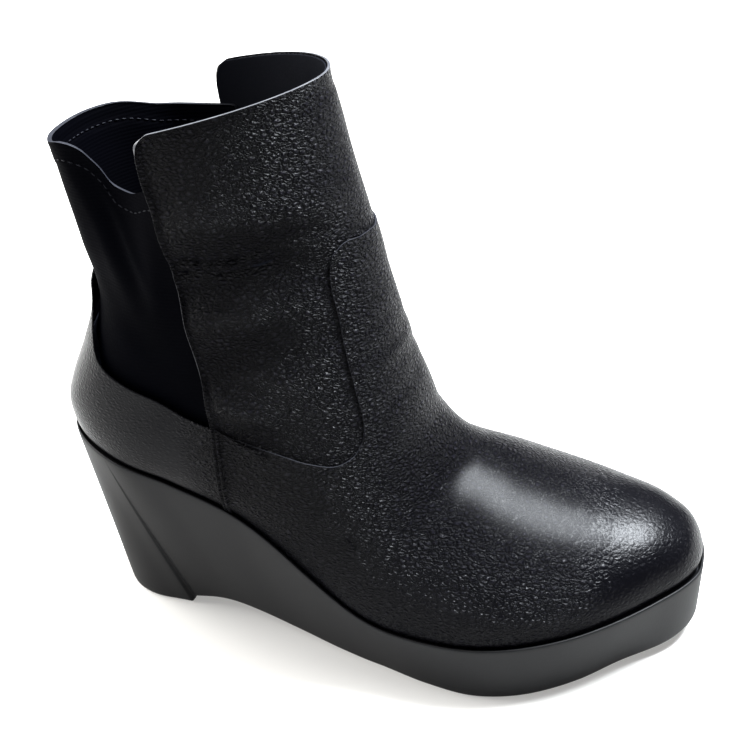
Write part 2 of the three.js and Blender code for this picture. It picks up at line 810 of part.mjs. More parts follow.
// The middle of the heel's rest becomes the origin.
bootie.position.x = -(heelBack + heelRest / 2);

export default bootie;
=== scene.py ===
import math

import bpy
import numpy as np
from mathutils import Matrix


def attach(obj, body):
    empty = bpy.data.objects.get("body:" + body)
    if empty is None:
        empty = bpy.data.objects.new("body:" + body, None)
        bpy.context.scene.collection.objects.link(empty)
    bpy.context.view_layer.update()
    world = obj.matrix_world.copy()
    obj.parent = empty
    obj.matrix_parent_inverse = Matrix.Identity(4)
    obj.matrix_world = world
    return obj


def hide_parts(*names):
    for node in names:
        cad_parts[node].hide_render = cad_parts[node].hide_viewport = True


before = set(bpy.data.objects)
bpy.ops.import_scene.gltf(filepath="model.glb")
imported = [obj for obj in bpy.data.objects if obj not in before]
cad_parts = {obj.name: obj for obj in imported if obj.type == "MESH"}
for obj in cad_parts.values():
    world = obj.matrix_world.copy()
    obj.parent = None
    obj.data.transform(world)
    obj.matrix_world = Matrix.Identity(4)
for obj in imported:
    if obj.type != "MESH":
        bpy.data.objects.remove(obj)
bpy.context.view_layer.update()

# Driving sizes in millimetres, as the solids have them. Shapes are worked out in millimetres from the back
# of the heel, and moved to the frame's origin in metres when a mesh is laid.
FOOT_LENGTH = 260.0
BALL_WIDTH = 104.0
ANKLE_WIDTH = 82.0
PLATFORM = 27.0
HEEL_HEIGHT = 91.0
INSTEP_HEIGHT = 116.0
BACK_HEIGHT = 211.0
FRONT_HEIGHT = 233.0

CLEARANCE = 0.3
VAMP_STEP = 0.8
RIM_WIDTH = 1.4
RIM_ROUND = 0.5
GROOVE_DEPTH = 2.2
ARCH_HEIGHT = 6.5
TOE_SPRING = 7.5
HEEL_REST = 35.5
HEEL_WIDTH = 49.0
TREAD_WIDTH = 107.0
BREAST_STEP = 1.2
FEATHER_RISE = 0.3
EDGE_ROUND = 1.4
MARK_WIDTH = 1.6
MARK_HEIGHT = 5.4
MARK_DEPTH = 2.6
MARKS = (0.575, 0.81)
UPPER_THICK = 1.8
INSOLE_THICK = 2.6
INSOLE_INSET = 1.9

HEEL_BACK = 0.016 * FOOT_LENGTH
TREAD_TIP = 0.975 * FOOT_LENGTH
HEEL_BREAST = HEEL_BACK + HEEL_REST
ORIGIN_X = HEEL_BACK + HEEL_REST / 2

# Panels and lining, from the surface of the last outwards
LEATHER_THICK = 0.75
ELASTIC_LIFT = -1.9
ELASTIC_THICK = 1.7
LINING_LIFT = -0.95
LINING_THICK = 0.6
EDGE_ANGLE = math.radians(50)
OUTER, INNER = SIDES = (-1, 1)


def table(columns, rows):
    return dict(zip(columns.split(), np.array(rows, float).T))


# The last: sections from toe to collar, each from the sole or back to the top or front of the foot.
FOOT = table(
    "low_x lift high_x top lateral medial widest sole_round top_round low_shift high_shift",
    [
        (0.967, 0.03, 0.9702, 0.05, 0.003, 0.003, 0.3, 3.0, 2.0, 0.0625, 0.0625),
        (0.9605, 0.005, 0.973, 0.122, 0.101, 0.101, 0.32, 3.2, 2.2, 0.058, 0.0625),
        (0.942, -0.015, 0.9588, 0.205, 0.178, 0.168, 0.33, 3.4, 2.3, 0.058, 0.0625),
        (0.9077, -0.03, 0.924, 0.275, 0.264, 0.255, 0.32, 3.6, 2.1, 0.048, 0.0625),
        (0.8346, -0.06, 0.8423, 0.35, 0.404, 0.37, 0.3, 3.8, 1.9, 0.024, 0.067),
        (0.6846, -0.1, 0.6962, 0.505, 0.54, 0.452, 0.28, 4.0, 1.75, -0.005, 0.067),
        (0.5308, -0.1, 0.5942, 0.685, 0.505, 0.385, 0.26, 4.0, 1.75, -0.024, 0.048),
        (0.4, 0.165, 0.5527, 1.0, 0.456, 0.298, 0.27, 3.6, 1.9, -0.034, 0.019),
    ],
)
ANKLE = table(
    "low_x lift rise high_x front lateral medial widest sole_round top_round low_shift high_shift",
    [
        (0.277, 0.55, 0.0, 0.5358, 0.162, 0.549, 0.36, 0.34, 3.2, 2.0, -0.037, 0.0),
        (0.154, 0.7, 0.0, 0.5231, 0.291, 0.53, 0.384, 0.4, 3.0, 2.0, -0.024, -0.012),
        (0.05, 0.8, 0.0, 0.5127, 0.385, 0.512, 0.415, 0.43, 2.8, 2.0, -0.012, -0.012),
        (0.012, 0.93, 0.0, 0.506, 0.46, 0.494, 0.439, 0.45, 2.6, 2.0, 0.0, -0.012),
        (0.001, 1.0, 0.03, 0.4985, 0.53, 0.487, 0.452, 0.455, 2.5, 2.0, 0.0, -0.012),
        (-0.0015, 1.0, 0.09, 0.4915, 0.6, 0.48, 0.465, 0.46, 2.4, 2.0, 0.0, -0.012),
        (0.011, 1.0, 0.17, 0.4823, 0.684, 0.47, 0.482, 0.46, 2.3, 2.0, 0.0, -0.012),
        (0.04, 1.0, 0.3, 0.4738, 0.769, 0.46, 0.506, 0.46, 2.3, 1.95, 0.0, -0.012),
        (0.068, 1.0, 0.458, 0.4669, 0.846, 0.45, 0.53, 0.46, 2.3, 1.9, 0.0, -0.012),
        (0.056, 1.0, 0.658, 0.4608, 0.915, 0.44, 0.555, 0.46, 2.3, 1.85, 0.0, -0.012),
        (0.036, 1.0, 1.0, 0.4535, 1.0, 0.433, 0.585, 0.46, 2.3, 1.8, 0.0, -0.012),
        (0.033, 1.0, 1.13, 0.448, 1.12, 0.433, 0.585, 0.46, 2.3, 1.8, 0.0, -0.012),
    ],
)

# Rim, tread and underside of the sole
RIM = table(
    "x lift",
    [
        (-0.04, 1.005), (0.0, 1.0), (0.046, 0.96), (0.127, 0.897), (0.2115, 0.8), (0.2923, 0.69),
        (0.365, 0.516), (0.4, 0.39), (0.431, 0.272), (0.458, 0.174), (0.485, 0.098), (0.515, 0.047),
        (0.55, 0.017), (0.6, 0.002), (0.677, 0.0), (0.769, 0.02), (0.865, 0.055), (0.942, 0.08),
        (1.03, 0.11),
    ],
)
TREAD = table(
    "x heel_lateral heel_medial ball_lateral ball_medial",
    [
        (0.0, 0.36, 0.52, 0.0, 0.0),
        (0.15, 0.39, 0.6, 0.0, 0.0),
        (0.22, 0.42, 0.56, 0.02, 0.0),
        (0.3, 0.36, 0.4, 0.11, 0.06),
        (0.4, 0.2, 0.24, 0.25, 0.18),
        (0.5, 0.04, 0.06, 0.39, 0.34),
        (0.58, 0.0, 0.0, 0.475, 0.425),
        (0.66, 0.0, 0.0, 0.51, 0.47),
        (0.73, 0.0, 0.0, 0.475, 0.465),
        (0.81, 0.0, 0.0, 0.365, 0.39),
        (0.88, 0.0, 0.0, 0.236, 0.302),
        (0.946, 0.0, 0.0, 0.2, 0.284),
        (1.0, 0.0, 0.0, 0.185, 0.285),
    ],
)
UNDERSIDE = table(
    "x arch spring",
    [
        (0.16, 0.4, 0.0), (0.21, 0.85, 0.0), (0.28, 1.0, 0.0), (0.36, 0.62, 0.0), (0.43, 0.2, 0.0),
        (0.48, 0.0, 0.0), (0.79, 0.0, 0.0), (0.87, 0.0, 0.22), (0.94, 0.0, 0.62), (1.0, 0.0, 1.0),
    ],
)

# Edges of the panels from the side: x as a share of FOOT_LENGTH, rise from HEEL_HEIGHT to BACK_HEIGHT.
SEAM_CORNER = (0.288, 0.158)
QUARTER_PEAK, ELASTIC_FOOT = 0.552, 0.49
COLLAR_BACK, COLLAR_FRONT = (0.2385, 1.088), 0.4535
QUARTER_EDGE = [
    (0.05, 0.55), (0.074, 0.52), (0.09, 0.425), (0.104, 0.325), (0.142, 0.275), (0.205, 0.225),
    (0.25, 0.183), SEAM_CORNER,
]
VAMP_SEAM = [
    SEAM_CORNER, (0.331, 0.125), (0.381, 0.092), (0.43, 0.058), (0.467, 0.046), (0.486, 0.066),
]
TONGUE_EDGE = [
    (0.486, 0.066), (0.496, 0.105), (0.498, 0.15), (0.489, 0.258), (0.479, 0.358), (0.467, 0.492),
    (0.457, 0.608), (0.459, 0.675),
]
TONGUE_TOP = [(0.459, 0.675), (0.473, 0.708), (0.5, 0.704)]
PANEL_EDGE = [
    (0.292, 0.02), (0.288, 0.1), (0.283, 0.148), (0.277, 0.275), (0.2665, 0.421), (0.2515, 0.633),
    (0.237, 0.83), (0.2235, 0.975), (0.223, 1.029), (0.2265, 1.052),
]
ELASTIC_TUCK = 0.023
ELASTIC_CORNER = 0.308
ELASTIC_TOP = {OUTER: (0.262, 0.908), INNER: (0.26, 0.945)}
PANEL_CORNER = [(0.2265, 1.052), (0.2285, 1.062), (0.2385, 1.086)]
SHAFT_FOOT = [(0.292, 0.02), (0.34, 0.0), (0.4, -0.03), (0.46, -0.04), (0.5, -0.01), (0.52, 0.06)]
HEM = {
    OUTER: [
        (0.0, 1.0), (0.05, 1.008), (0.085, 1.025), (0.118, 0.99), (0.136, 0.94), (0.155, 0.884),
        (0.18, 0.872), (0.22, 0.9), (0.3, 0.908),
    ],
    INNER: [(0.0, 1.0), (0.06, 0.985), (0.13, 0.955), (0.21, 0.945), (0.3, 0.945)],
}


# Curves and blends

def smooth(knots, values, at):
    """A smooth curve through knots, flat beyond its ends."""
    knots, values = np.asarray(knots), np.asarray(values)
    x = np.clip(at, knots[0], knots[-1])
    step = np.diff(knots)
    rate = np.diff(values) / step
    inner = (rate[:-1] * step[1:] + rate[1:] * step[:-1]) / (step[:-1] + step[1:])
    slope = np.concatenate([rate[:1], inner, rate[-1:]])
    i = np.clip(np.searchsorted(knots, x) - 1, 0, len(knots) - 2)
    h = step[i]
    t = (x - knots[i]) / h
    return (
        (2 * t**3 - 3 * t**2 + 1) * values[i]
        + (t**3 - 2 * t**2 + t) * h * slope[i]
        + (3 * t**2 - 2 * t**3) * values[i + 1]
        + (t**3 - t**2) * h * slope[i + 1]
    )


def ramp(start, end, value):
    t = np.clip((value - start) / (end - start), 0, 1)
    return t * t * (3 - 2 * t)


def bump_at(centre, width, value):
    """A soft hump of height 1."""
    return np.exp(-(((value - centre) / width) ** 2))


def mix(a, b, share):
    return a + (b - a) * share


def eased(steps):
    """Shares from 0 to 1, closest together near both ends."""
    return (1 - np.cos(np.linspace(0, math.pi, steps))) / 2


def unit(vectors):
    return vectors / (np.linalg.norm(vectors, axis=1, keepdims=True) + 1e-12)


def run_lengths(points):
    """The length of a line up to each of its points."""
    return np.concatenate([[0], np.cumsum(np.linalg.norm(np.diff(points, axis=0), axis=1))])


def halved(low, high, still_before, rounds):
    """The place in a reach where a test stops holding, found by halves."""
    for _ in range(rounds):
        middle = (low + high) / 2
        before = still_before(middle)
        low, high = np.where(before, middle, low), np.where(before, high, middle)
    return (low + high) / 2


def both_sides(make, *settings):
    return {side: make(side, *settings) for side in SIDES}


def rise_height(rise):
    return HEEL_HEIGHT + rise * (BACK_HEIGHT - HEEL_HEIGHT)


def rim_height(x):
    return smooth(RIM["x"] * FOOT_LENGTH, mix(PLATFORM, HEEL_HEIGHT, RIM["lift"]), x)


def bed_height(x):
    return rim_height(x) - GROOVE_DEPTH


# The surface of the last

def last_sections():
    foot, ankle = FOOT, ANKLE
    ankle_low = rise_height(ankle["rise"]) - HEEL_HEIGHT + mix(PLATFORM, HEEL_HEIGHT, ankle["lift"])
    ankle_high = mix(INSTEP_HEIGHT, FRONT_HEIGHT, ankle["front"])
    both = {
        "low_z": (mix(PLATFORM, HEEL_HEIGHT, foot["lift"]), ankle_low),
        "high_z": (mix(PLATFORM, INSTEP_HEIGHT, foot["top"]), ankle_high),
    }
    for name in ("low_x", "high_x"):
        both[name] = (foot[name] * FOOT_LENGTH, ankle[name] * FOOT_LENGTH)
    for name in ("lateral", "medial", "low_shift", "high_shift"):
        both[name] = (foot[name] * BALL_WIDTH, ankle[name] * ANKLE_WIDTH)
    for name in ("widest", "sole_round", "top_round"):
        both[name] = (foot[name], ankle[name])
    return {name: np.concatenate(pair) for name, pair in both.items()}


SECTIONS = last_sections()


def travel():
    """How far along the last each section is: the longest step of both its ends and its outer side."""
    step = {name: np.diff(values) for name, values in SECTIONS.items()}
    low, high = (np.hypot(step[end + "_x"], step[end + "_z"]) for end in ("low", "high"))
    return np.concatenate([[0], np.cumsum(np.maximum.reduce([low, high, np.abs(step["lateral"])]))])


TRAVEL = travel()
LAST_END = TRAVEL[-1]
# Where to look along the last for a height: at the tip of the toe, up the heel, and up the ankle.
TOE_REACH = (0.5, TRAVEL[3])
HEEL_REACH = (TRAVEL[9], TRAVEL[15])
SHANK_REACH = (TRAVEL[7], LAST_END)
BACK_REACH = (TRAVEL[12], LAST_END)
COLLAR_REACH = (TRAVEL[15], LAST_END)


def section_at(along, *names):
    return [smooth(TRAVEL, SECTIONS[name], along) for name in names]


def section_point(angle, along, side):
    """Angle 0 is the sole or back end of the section, pi its top or front end."""
    s = dict(zip(SECTIONS, section_at(along, *SECTIONS)))
    cos, sin = np.cos(angle), np.sin(angle)
    power = 2 / np.where(cos > 0, s["sole_round"], s["top_round"])
    reach = np.abs(cos) ** power
    share = np.where(cos > 0, s["widest"] * (1 - reach), s["widest"] + (1 - s["widest"]) * reach)
    half = np.where(side > 0, s["medial"], -s["lateral"])
    y = mix(s["low_shift"], s["high_shift"], share) + half * np.abs(sin) ** power
    return np.stack([mix(s["low_x"], s["high_x"], share), y, mix(s["low_z"], s["high_z"], share)], -1)


# A place around a section is a share of its length on that side: 0 at the back, 1 at the front. Past 1 it
# runs back along the outer side to 2, which is the back again, and below 0 it is the outer side as well.
END_GAP, AROUND_STEP, ALONG_STEP = 0.6, 0.004, 0.5
ALONG_STEPS = np.linspace(0, LAST_END, 221)
QUARTER_TURN = (np.linspace(0, 1, 61) ** 2) * math.pi / 4
ANGLE_STEPS = np.unique(
    [QUARTER_TURN, math.pi / 2 - QUARTER_TURN, math.pi / 2 + QUARTER_TURN, math.pi - QUARTER_TURN]
)


def round_shares(side):
    along, angle = np.meshgrid(ALONG_STEPS, ANGLE_STEPS, indexing="ij")
    points = section_point(angle, along, side)
    length = np.cumsum(np.linalg.norm(np.diff(points, axis=1), axis=2), axis=1)
    length = np.concatenate([np.zeros((len(ALONG_STEPS), 1)), length], axis=1)
    return length / length[:, -1:]


SHARES = both_sides(round_shares)


def between_rows(rows_at, along):
    """Reads a value for each point from the two rows of a table that its place along lies between."""
    row = np.clip(along / LAST_END * (len(ALONG_STEPS) - 1), 0, len(ALONG_STEPS) - 1.001)
    low = row.astype(int)
    return mix(rows_at(low), rows_at(low + 1), row - low)


def angle_of(share, along, side):
    result = np.zeros_like(share)
    for s in SIDES:
        chosen = side == s
        wanted = share[chosen]

        def rows_at(rows):
            return np.array([np.interp(w, SHARES[s][r], ANGLE_STEPS) for w, r in zip(wanted, rows)])

        if chosen.any():
            result[chosen] = between_rows(rows_at, along[chosen])
    return result


def share_of(angle, along, side):
    def rows_at(rows):
        return np.array([np.interp(a, ANGLE_STEPS, SHARES[side][r]) for a, r in zip(angle, rows)])

    return between_rows(rows_at, along)


def on_surface(around, along):
    around = np.mod(np.asarray(around, float) + 1, 2) - 1
    side = np.where(around < 0, OUTER, INNER)
    return section_point(angle_of(np.abs(around), along, side), along, side)


def skin(around, along):
    """Points of the last, never at its very ends, and the direction outwards there from short steps."""
    along = np.clip(along, END_GAP, LAST_END - END_GAP)
    across = on_surface(around + AROUND_STEP, along) - on_surface(around - AROUND_STEP, along)
    up = on_surface(around, along + ALONG_STEP) - on_surface(around, along - ALONG_STEP)
    return on_surface(around, along), unit(np.cross(up, across))


def on_last(x, z, side, front):
    """Place around and along of the point of one side of the last that shows at x and z from the side."""
    x, z = np.asarray(x, float), np.asarray(z, float)

    def from_section(along):
        """The section's own run in x and z, and the way from its low end to the point."""
        low_x, low_z, high_x, high_z = section_at(along, "low_x", "low_z", "high_x", "high_z")
        return high_x - low_x, high_z - low_z, x - low_x, z - low_z

    def ahead(along):
        run_x, run_z, way_x, way_z = from_section(along)
        return run_x * way_z - run_z * way_x > 0

    along = halved(np.zeros_like(x), np.full_like(x, LAST_END), ahead, 40)
    run_x, run_z, way_x, way_z = from_section(along)
    share = np.clip((way_x * run_x + way_z * run_z) / (run_x**2 + run_z**2), 0, 1)
    widest, sole_round, top_round = section_at(along, "widest", "sole_round", "top_round")
    below = share < widest
    power = 2 / np.where(below, sole_round, top_round)
    reach = np.where(below, 1 - share / widest, (share - widest) / (1 - widest))
    cos = np.clip(reach, 0, 1) ** (1 / power)
    angle = np.arccos(np.where(below, cos, -cos))
    around = share_of(angle, along, side)
    if side == OUTER:
        around = 2 - around if front else -around
    return np.stack([around, along], -1)


# Lines on the last

def side_points(rows):
    """A smooth line through an edge's rows, in x and z."""
    knots = np.array([(x * FOOT_LENGTH, rise_height(rise)) for x, rise in rows])
    length = run_lengths(knots)
    at = np.linspace(0, length[-1], 10 * (len(rows) - 1) + 1)
    return np.stack([smooth(length, knots[:, 0], at), smooth(length, knots[:, 1], at)], -1)


def edge_line(rows, side, front):
    return on_last(*side_points(rows).T, side, front)


def edge_lines(rows, front):
    return {side: edge_line(rows, side, front) for side in SIDES}


def over_middle(outer, middle, inner):
    """One line from the outer side over the middle to the inner side, from two that both run inwards."""
    return np.concatenate([outer, middle, inner[::-1]])


def collar_height(x):
    start_x, start_z = COLLAR_BACK[0] * FOOT_LENGTH, rise_height(COLLAR_BACK[1])
    end_x = COLLAR_FRONT * FOOT_LENGTH
    return mix(start_z, FRONT_HEIGHT, (x - start_x) / (end_x - start_x))


def along_where(around, height_at, reach):
    """How far along the last it passes through a height, for each place around."""
    low, high = (np.full_like(around, end) for end in reach)

    def below(along):
        point = on_surface(around, along)
        return point[:, 2] < height_at(point[:, 0])

    return halved(low, high, below, 30)


def feather_height(x):
    """Where the leather ends, just above the bed of the sole."""
    return bed_height(x) + CLEARANCE + FEATHER_RISE


def feather_line(side, start_x, end_x, front):
    x = mix(start_x, end_x, eased(90))
    return on_last(x, feather_height(x), side, front)


def pole(around, height_at=feather_height):
    """The place, and its point, where the middle line of toe (1) or heel (0) is at a height."""
    place = np.array([float(around)])
    along = along_where(place, height_at, TOE_REACH if around == 1 else HEEL_REACH)
    return np.array([[around, along[0]]]), on_surface(place, along)[0]


def back_peak(rise):
    """A panel's highest or lowest place on the middle line of the heel."""
    along = along_where(np.array([0.0]), lambda x: np.full_like(x, rise_height(rise)), BACK_REACH)
    return np.array([[0.0, along[0]]])


def share_line(points):
    """A side of a patch as a function of the share of its length."""
    places, _ = skin(*points.T)
    length = run_lengths(places)
    length /= length[-1]
    return lambda share: np.stack([np.interp(share, length, points[:, k]) for k in (0, 1)], -1)


def joined_line(parts, stops):
    """Several lines as one, each between its own two stops."""
    lines = [share_line(part) for part in parts]

    def at(share):
        share = np.asarray(share, float)
        result = np.zeros(share.shape + (2,))
        for line, start, stop in zip(lines, stops, stops[1:]):
            chosen = (share >= start - 1e-9) & (share <= stop + 1e-9)
            result[chosen] = line(np.clip((share[chosen] - start) / (stop - start), 0, 1))
        return result

    return at


def patch(*sides):
    """Fills four sides: left, right, bottom and top. Columns run to the right, and rows up."""
    left, right, bottom, top = (side if callable(side) else share_line(side) for side in sides)

    def place(u, v):
        u_, v_ = u[:, None], v[:, None]
        ends = np.array([0.0, 1.0])
        (b0, b1), (t0, t1) = bottom(ends), top(ends)
        corners = (1 - v_) * ((1 - u_) * b0 + u_ * b1) + v_ * ((1 - u_) * t0 + u_ * t1)
        return (1 - v_) * bottom(u) + v_ * top(u) + (1 - u_) * left(v) + u_ * right(v) - corners

    return place


# Making and finishing meshes

def start_alone(*pieces):
    """Object mode, with only these pieces selected and the first of them active."""
    if bpy.context.object and bpy.context.object.mode != "OBJECT":
        bpy.ops.object.mode_set(mode="OBJECT")
    bpy.ops.object.select_all(action="DESELECT")
    for piece in pieces:
        piece.select_set(True)
    if pieces:
        bpy.context.view_layer.objects.active = pieces[0]


def to_frame(points):
    """Millimetres from the back of the heel to metres in the frame."""
    return (np.asarray(points) - (ORIGIN_X, 0, 0)) * 0.001


def sheet_of(name, columns, rows):
    """A flat grid to be laid: its object, and each vertex's share across and up."""
    start_alone()
    bpy.ops.mesh.primitive_grid_add(x_subdivisions=columns, y_subdivisions=rows, size=1)
    piece = bpy.context.object
    piece.name = name
    flat = np.zeros(len(piece.data.vertices) * 3)
    piece.data.vertices.foreach_get("co", flat)
    flat = flat.reshape(-1, 3)
    return piece, flat[:, 0] + 0.5, flat[:, 1] + 0.5


def lay(piece, points, outwards=None):
    """Moves a sheet's vertices to their places, and turns its faces outwards where that is given."""
    piece.data.vertices.foreach_set("co", to_frame(points).ravel())
    piece.data.update()
    if outwards is not None:
        face = piece.data.polygons[len(piece.data.polygons) // 2]
        if np.dot(face.normal, outwards[face.vertices[0]]) < 0:
            edit_all(piece, bpy.ops.mesh.flip_normals)


def edit_all(piece, operator, **settings):
    """Runs an edit-mode operator on the whole of a piece."""
    start_alone(piece)
    bpy.ops.object.mode_set(mode="EDIT")
    bpy.ops.mesh.select_all(action="SELECT")
    operator(**settings)
    bpy.ops.object.mode_set(mode="OBJECT")


def merge_close(piece, distance):
    edit_all(piece, bpy.ops.mesh.remove_doubles, threshold=distance * 0.001)


def finish(piece, modifiers, slots=0):
    """Applies the modifiers and shades the piece smooth. Slots are there first, for a rim of its own."""
    start_alone(piece)
    for _ in range(slots):
        bpy.ops.object.material_slot_add()
    for kind, settings in modifiers:
        modifier = piece.modifiers.new(kind.title(), kind)
        for name, value in settings.items():
            setattr(modifier, name, value)
        bpy.ops.object.modifier_apply(modifier=modifier.name)
    bpy.ops.object.shade_smooth()
    return piece


def rounder(levels):
    return [("SUBSURF", {"levels": levels, "render_levels": levels})] * bool(levels)


def wall(thickness, rounding, levels=1, rim=0):
    """Gives a laid panel its thickness inwards, round edges and a smooth surface."""
    edges = {"width": rounding * 0.001, "segments": 2, "limit_method": "ANGLE", "angle_limit": EDGE_ANGLE}
    return [
        ("SOLIDIFY", {"thickness": thickness * 0.001, "offset": -1, "material_offset_rim": rim}),
        ("BEVEL", edges),
    ] + rounder(levels)


def dress(piece, material, slot, *nodes, edge=None):
    """Gives a piece its material, and its cut or folded edge another where it has one: a finish whose
    lighter colour is a painted highlight.
    """
    if edge:
        piece.material_slots[0].material = material
        piece.material_slots[1].material = edge
    else:
        piece.data.materials.clear()
        piece.data.materials.append(material)
    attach(piece, "root")
    for node in nodes:
        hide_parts(node)


def cut_panel(name, place, lift):
    """Lays a panel on the last, at the places and with the lift that each vertex's shares give."""
    piece, u, v = sheet_of(name, *GRIDS[name])
    points, outwards = skin(*place(u, v).T)
    lay(piece, points + outwards * lift(points, u, v)[:, None], outwards)
    return piece


def join_pieces(name, pieces, merge):
    start_alone(*pieces)
    bpy.ops.object.join()
    whole = bpy.context.object
    whole.name = name
    merge_close(whole, merge)
    return whole


# Columns and rows of each panel's grid. The vamp's columns stop where its side seams and its tongue begin.
SIDE_COLUMNS, SEAM_COLUMNS, TONGUE_COLUMNS = 16, 22, 46
VAMP_STOPS = np.cumsum([0, SIDE_COLUMNS, SEAM_COLUMNS, TONGUE_COLUMNS, SEAM_COLUMNS, SIDE_COLUMNS])
GRIDS = {
    "vamp_foot": (int(VAMP_STOPS[-1]), 70),
    "vamp_tongue": (TONGUE_COLUMNS, 36),
    "quarter": (100, 50),
    "shaft_panel": (112, 90),
    "shaft_lining": (80, 64),
    "foot_lining": (120, 40),
    "elastic_panel": (110, 80),
    "side_seam_outer": (12, 60),
    "side_seam_inner": (12, 60),
    "insole_board": (90, 24),
}

# Creases, given one by one: side, start x and rise, end x and rise, width and depth in millimetres.
# A depth below zero is a soft ridge.
CREASES = [
    (OUTER, 0.22, 0.775, 0.48, 0.86, 7.5, -1.9),
    (OUTER, 0.23, 0.6, 0.46, 0.66, 6.5, 1.8),
    (OUTER, 0.24, 0.48, 0.46, 0.53, 7.0, -1.4),
    (OUTER, 0.26, 0.36, 0.44, 0.38, 6.5, 1.1),
    (OUTER, 0.27, 0.25, 0.38, 0.19, 5.0, -2.0),
    (OUTER, 0.235, 0.69, 0.37, 0.72, 1.7, 2.0),
    (OUTER, 0.35, 0.722, 0.47, 0.775, 2.0, 1.0),
    (OUTER, 0.235, 0.657, 0.42, 0.693, 1.6, 1.8),
    (OUTER, 0.25, 0.675, 0.4, 0.708, 1.8, -0.45),
    (OUTER, 0.27, 0.56, 0.4, 0.585, 2.6, 0.45),
    (OUTER, 0.28, 0.33, 0.37, 0.27, 2.6, 0.45),
    (OUTER, 0.45, 0.43, 0.53, 0.45, 2.2, 0.45),
    (OUTER, 0.46, 0.35, 0.54, 0.37, 2.2, 0.5),
    (OUTER, 0.47, 0.27, 0.55, 0.3, 2.4, 0.5),
    (OUTER, 0.48, 0.31, 0.56, 0.335, 2.4, -0.35),
    (OUTER, 0.5, 0.18, 0.57, 0.215, 2.6, 0.45),
    (OUTER, 0.52, 0.02, 0.66, 0.06, 5.0, 0.6),
    (OUTER, 0.56, -0.14, 0.7, -0.06, 6.0, 0.7),
    (OUTER, 0.6, -0.05, 0.7, 0.0, 5.0, -0.5),
    (INNER, 0.25, 0.7, 0.46, 0.77, 2.2, 0.85),
    (INNER, 0.25, 0.655, 0.4, 0.69, 2.2, 0.55),
    (INNER, 0.26, 0.735, 0.45, 0.8, 2.8, -0.5),
    (INNER, 0.27, 0.52, 0.42, 0.55, 3.4, 0.4),
    (INNER, 0.46, 0.37, 0.54, 0.4, 2.4, 0.45),
    (INNER, 0.47, 0.27, 0.56, 0.3, 2.6, 0.5),
    (INNER, 0.52, 0.03, 0.66, 0.05, 5.0, 0.6),
    (INNER, 0.57, -0.14, 0.7, -0.07, 6.0, 0.65),
]


def pushed(points, rows, middle, fades, wander=0.0):
    """How far creases or folds push a panel in or out. Each fades over two lengths in millimetres before and
    after its ends, and a crease wanders a little to both sides of its line."""
    (before_start, after_start), (before_end, after_end) = fades
    push = np.zeros(len(points))
    side = np.where(points[:, 1] < middle, OUTER, INNER)
    for on, x0, rise0, x1, rise1, width, depth in rows:
        start = np.array([x0 * FOOT_LENGTH, rise_height(rise0)])
        run = np.array([x1 * FOOT_LENGTH, rise_height(rise1)]) - start
        long = np.linalg.norm(run)
        run /= long
        offset = points[:, (0, 2)] - start
        forward, away = offset @ run, offset @ np.array([-run[1], run[0]])
        away = away + wander * 0.9 * np.sin(forward / 5.3 + x0 * 40)
        away = away + wander * 0.4 * np.sin(forward / 2.1 + depth * 9)
        fade = ramp(-before_start, after_start, forward)
        fade = fade * (1 - ramp(long - before_end, long + after_end, forward))
        push -= depth * bump_at(0, width, away) * fade * (side == on)
    return push


def creased(points):
    return pushed(points, CREASES, -2, ((6, 10), (10, 6)), wander=1.0)


def softened(points):
    """Slow swells of worn leather."""
    x, y, z = points.T
    return 0.22 * np.sin(x / 17 + z / 23) * np.sin(y / 15 - z / 19) + 0.12 * np.sin(z / 7.5 + x / 31)


# Upper: vamp with its tongue, and the heel quarter

SEAM_X = 0.2885 * FOOT_LENGTH
TOE_CLOSE, TOE_GAP = 1.6, 0.5
TAB_WIDTH = 0.06


def foot_edge(side):
    """The vamp's lower edge on one side, from the tip of the toe to the side seam."""
    _, tip = pole(1)
    line = feather_line(side, SEAM_X, tip[0], True)[::-1]
    return line[line[:, 1] > TOE_CLOSE]


def toe_row(start, stop):
    """The vamp's lowest row across the tip of the toe, level and just above the pole of the last."""
    share = np.linspace(-1, 1, 41)
    reach = mix(start[1], stop[1], (share + 1) / 2)
    turn = np.arctan2(np.abs(share) * reach, TOE_GAP) / np.arctan2(reach, TOE_GAP)
    around = 1 + np.where(share < 0, start[0] - 1, stop[0] - 1) * turn
    return np.stack([around, np.hypot(share * reach, TOE_GAP)], -1)


def seam_rise(side, front):
    """The side seam from the bed of the sole to the corner of the quarter."""
    share = np.linspace(0, 1, 30)
    x = mix(SEAM_X, SEAM_CORNER[0] * FOOT_LENGTH, share)
    return on_last(x, mix(feather_height(SEAM_X), rise_height(SEAM_CORNER[1]), share), side, front)


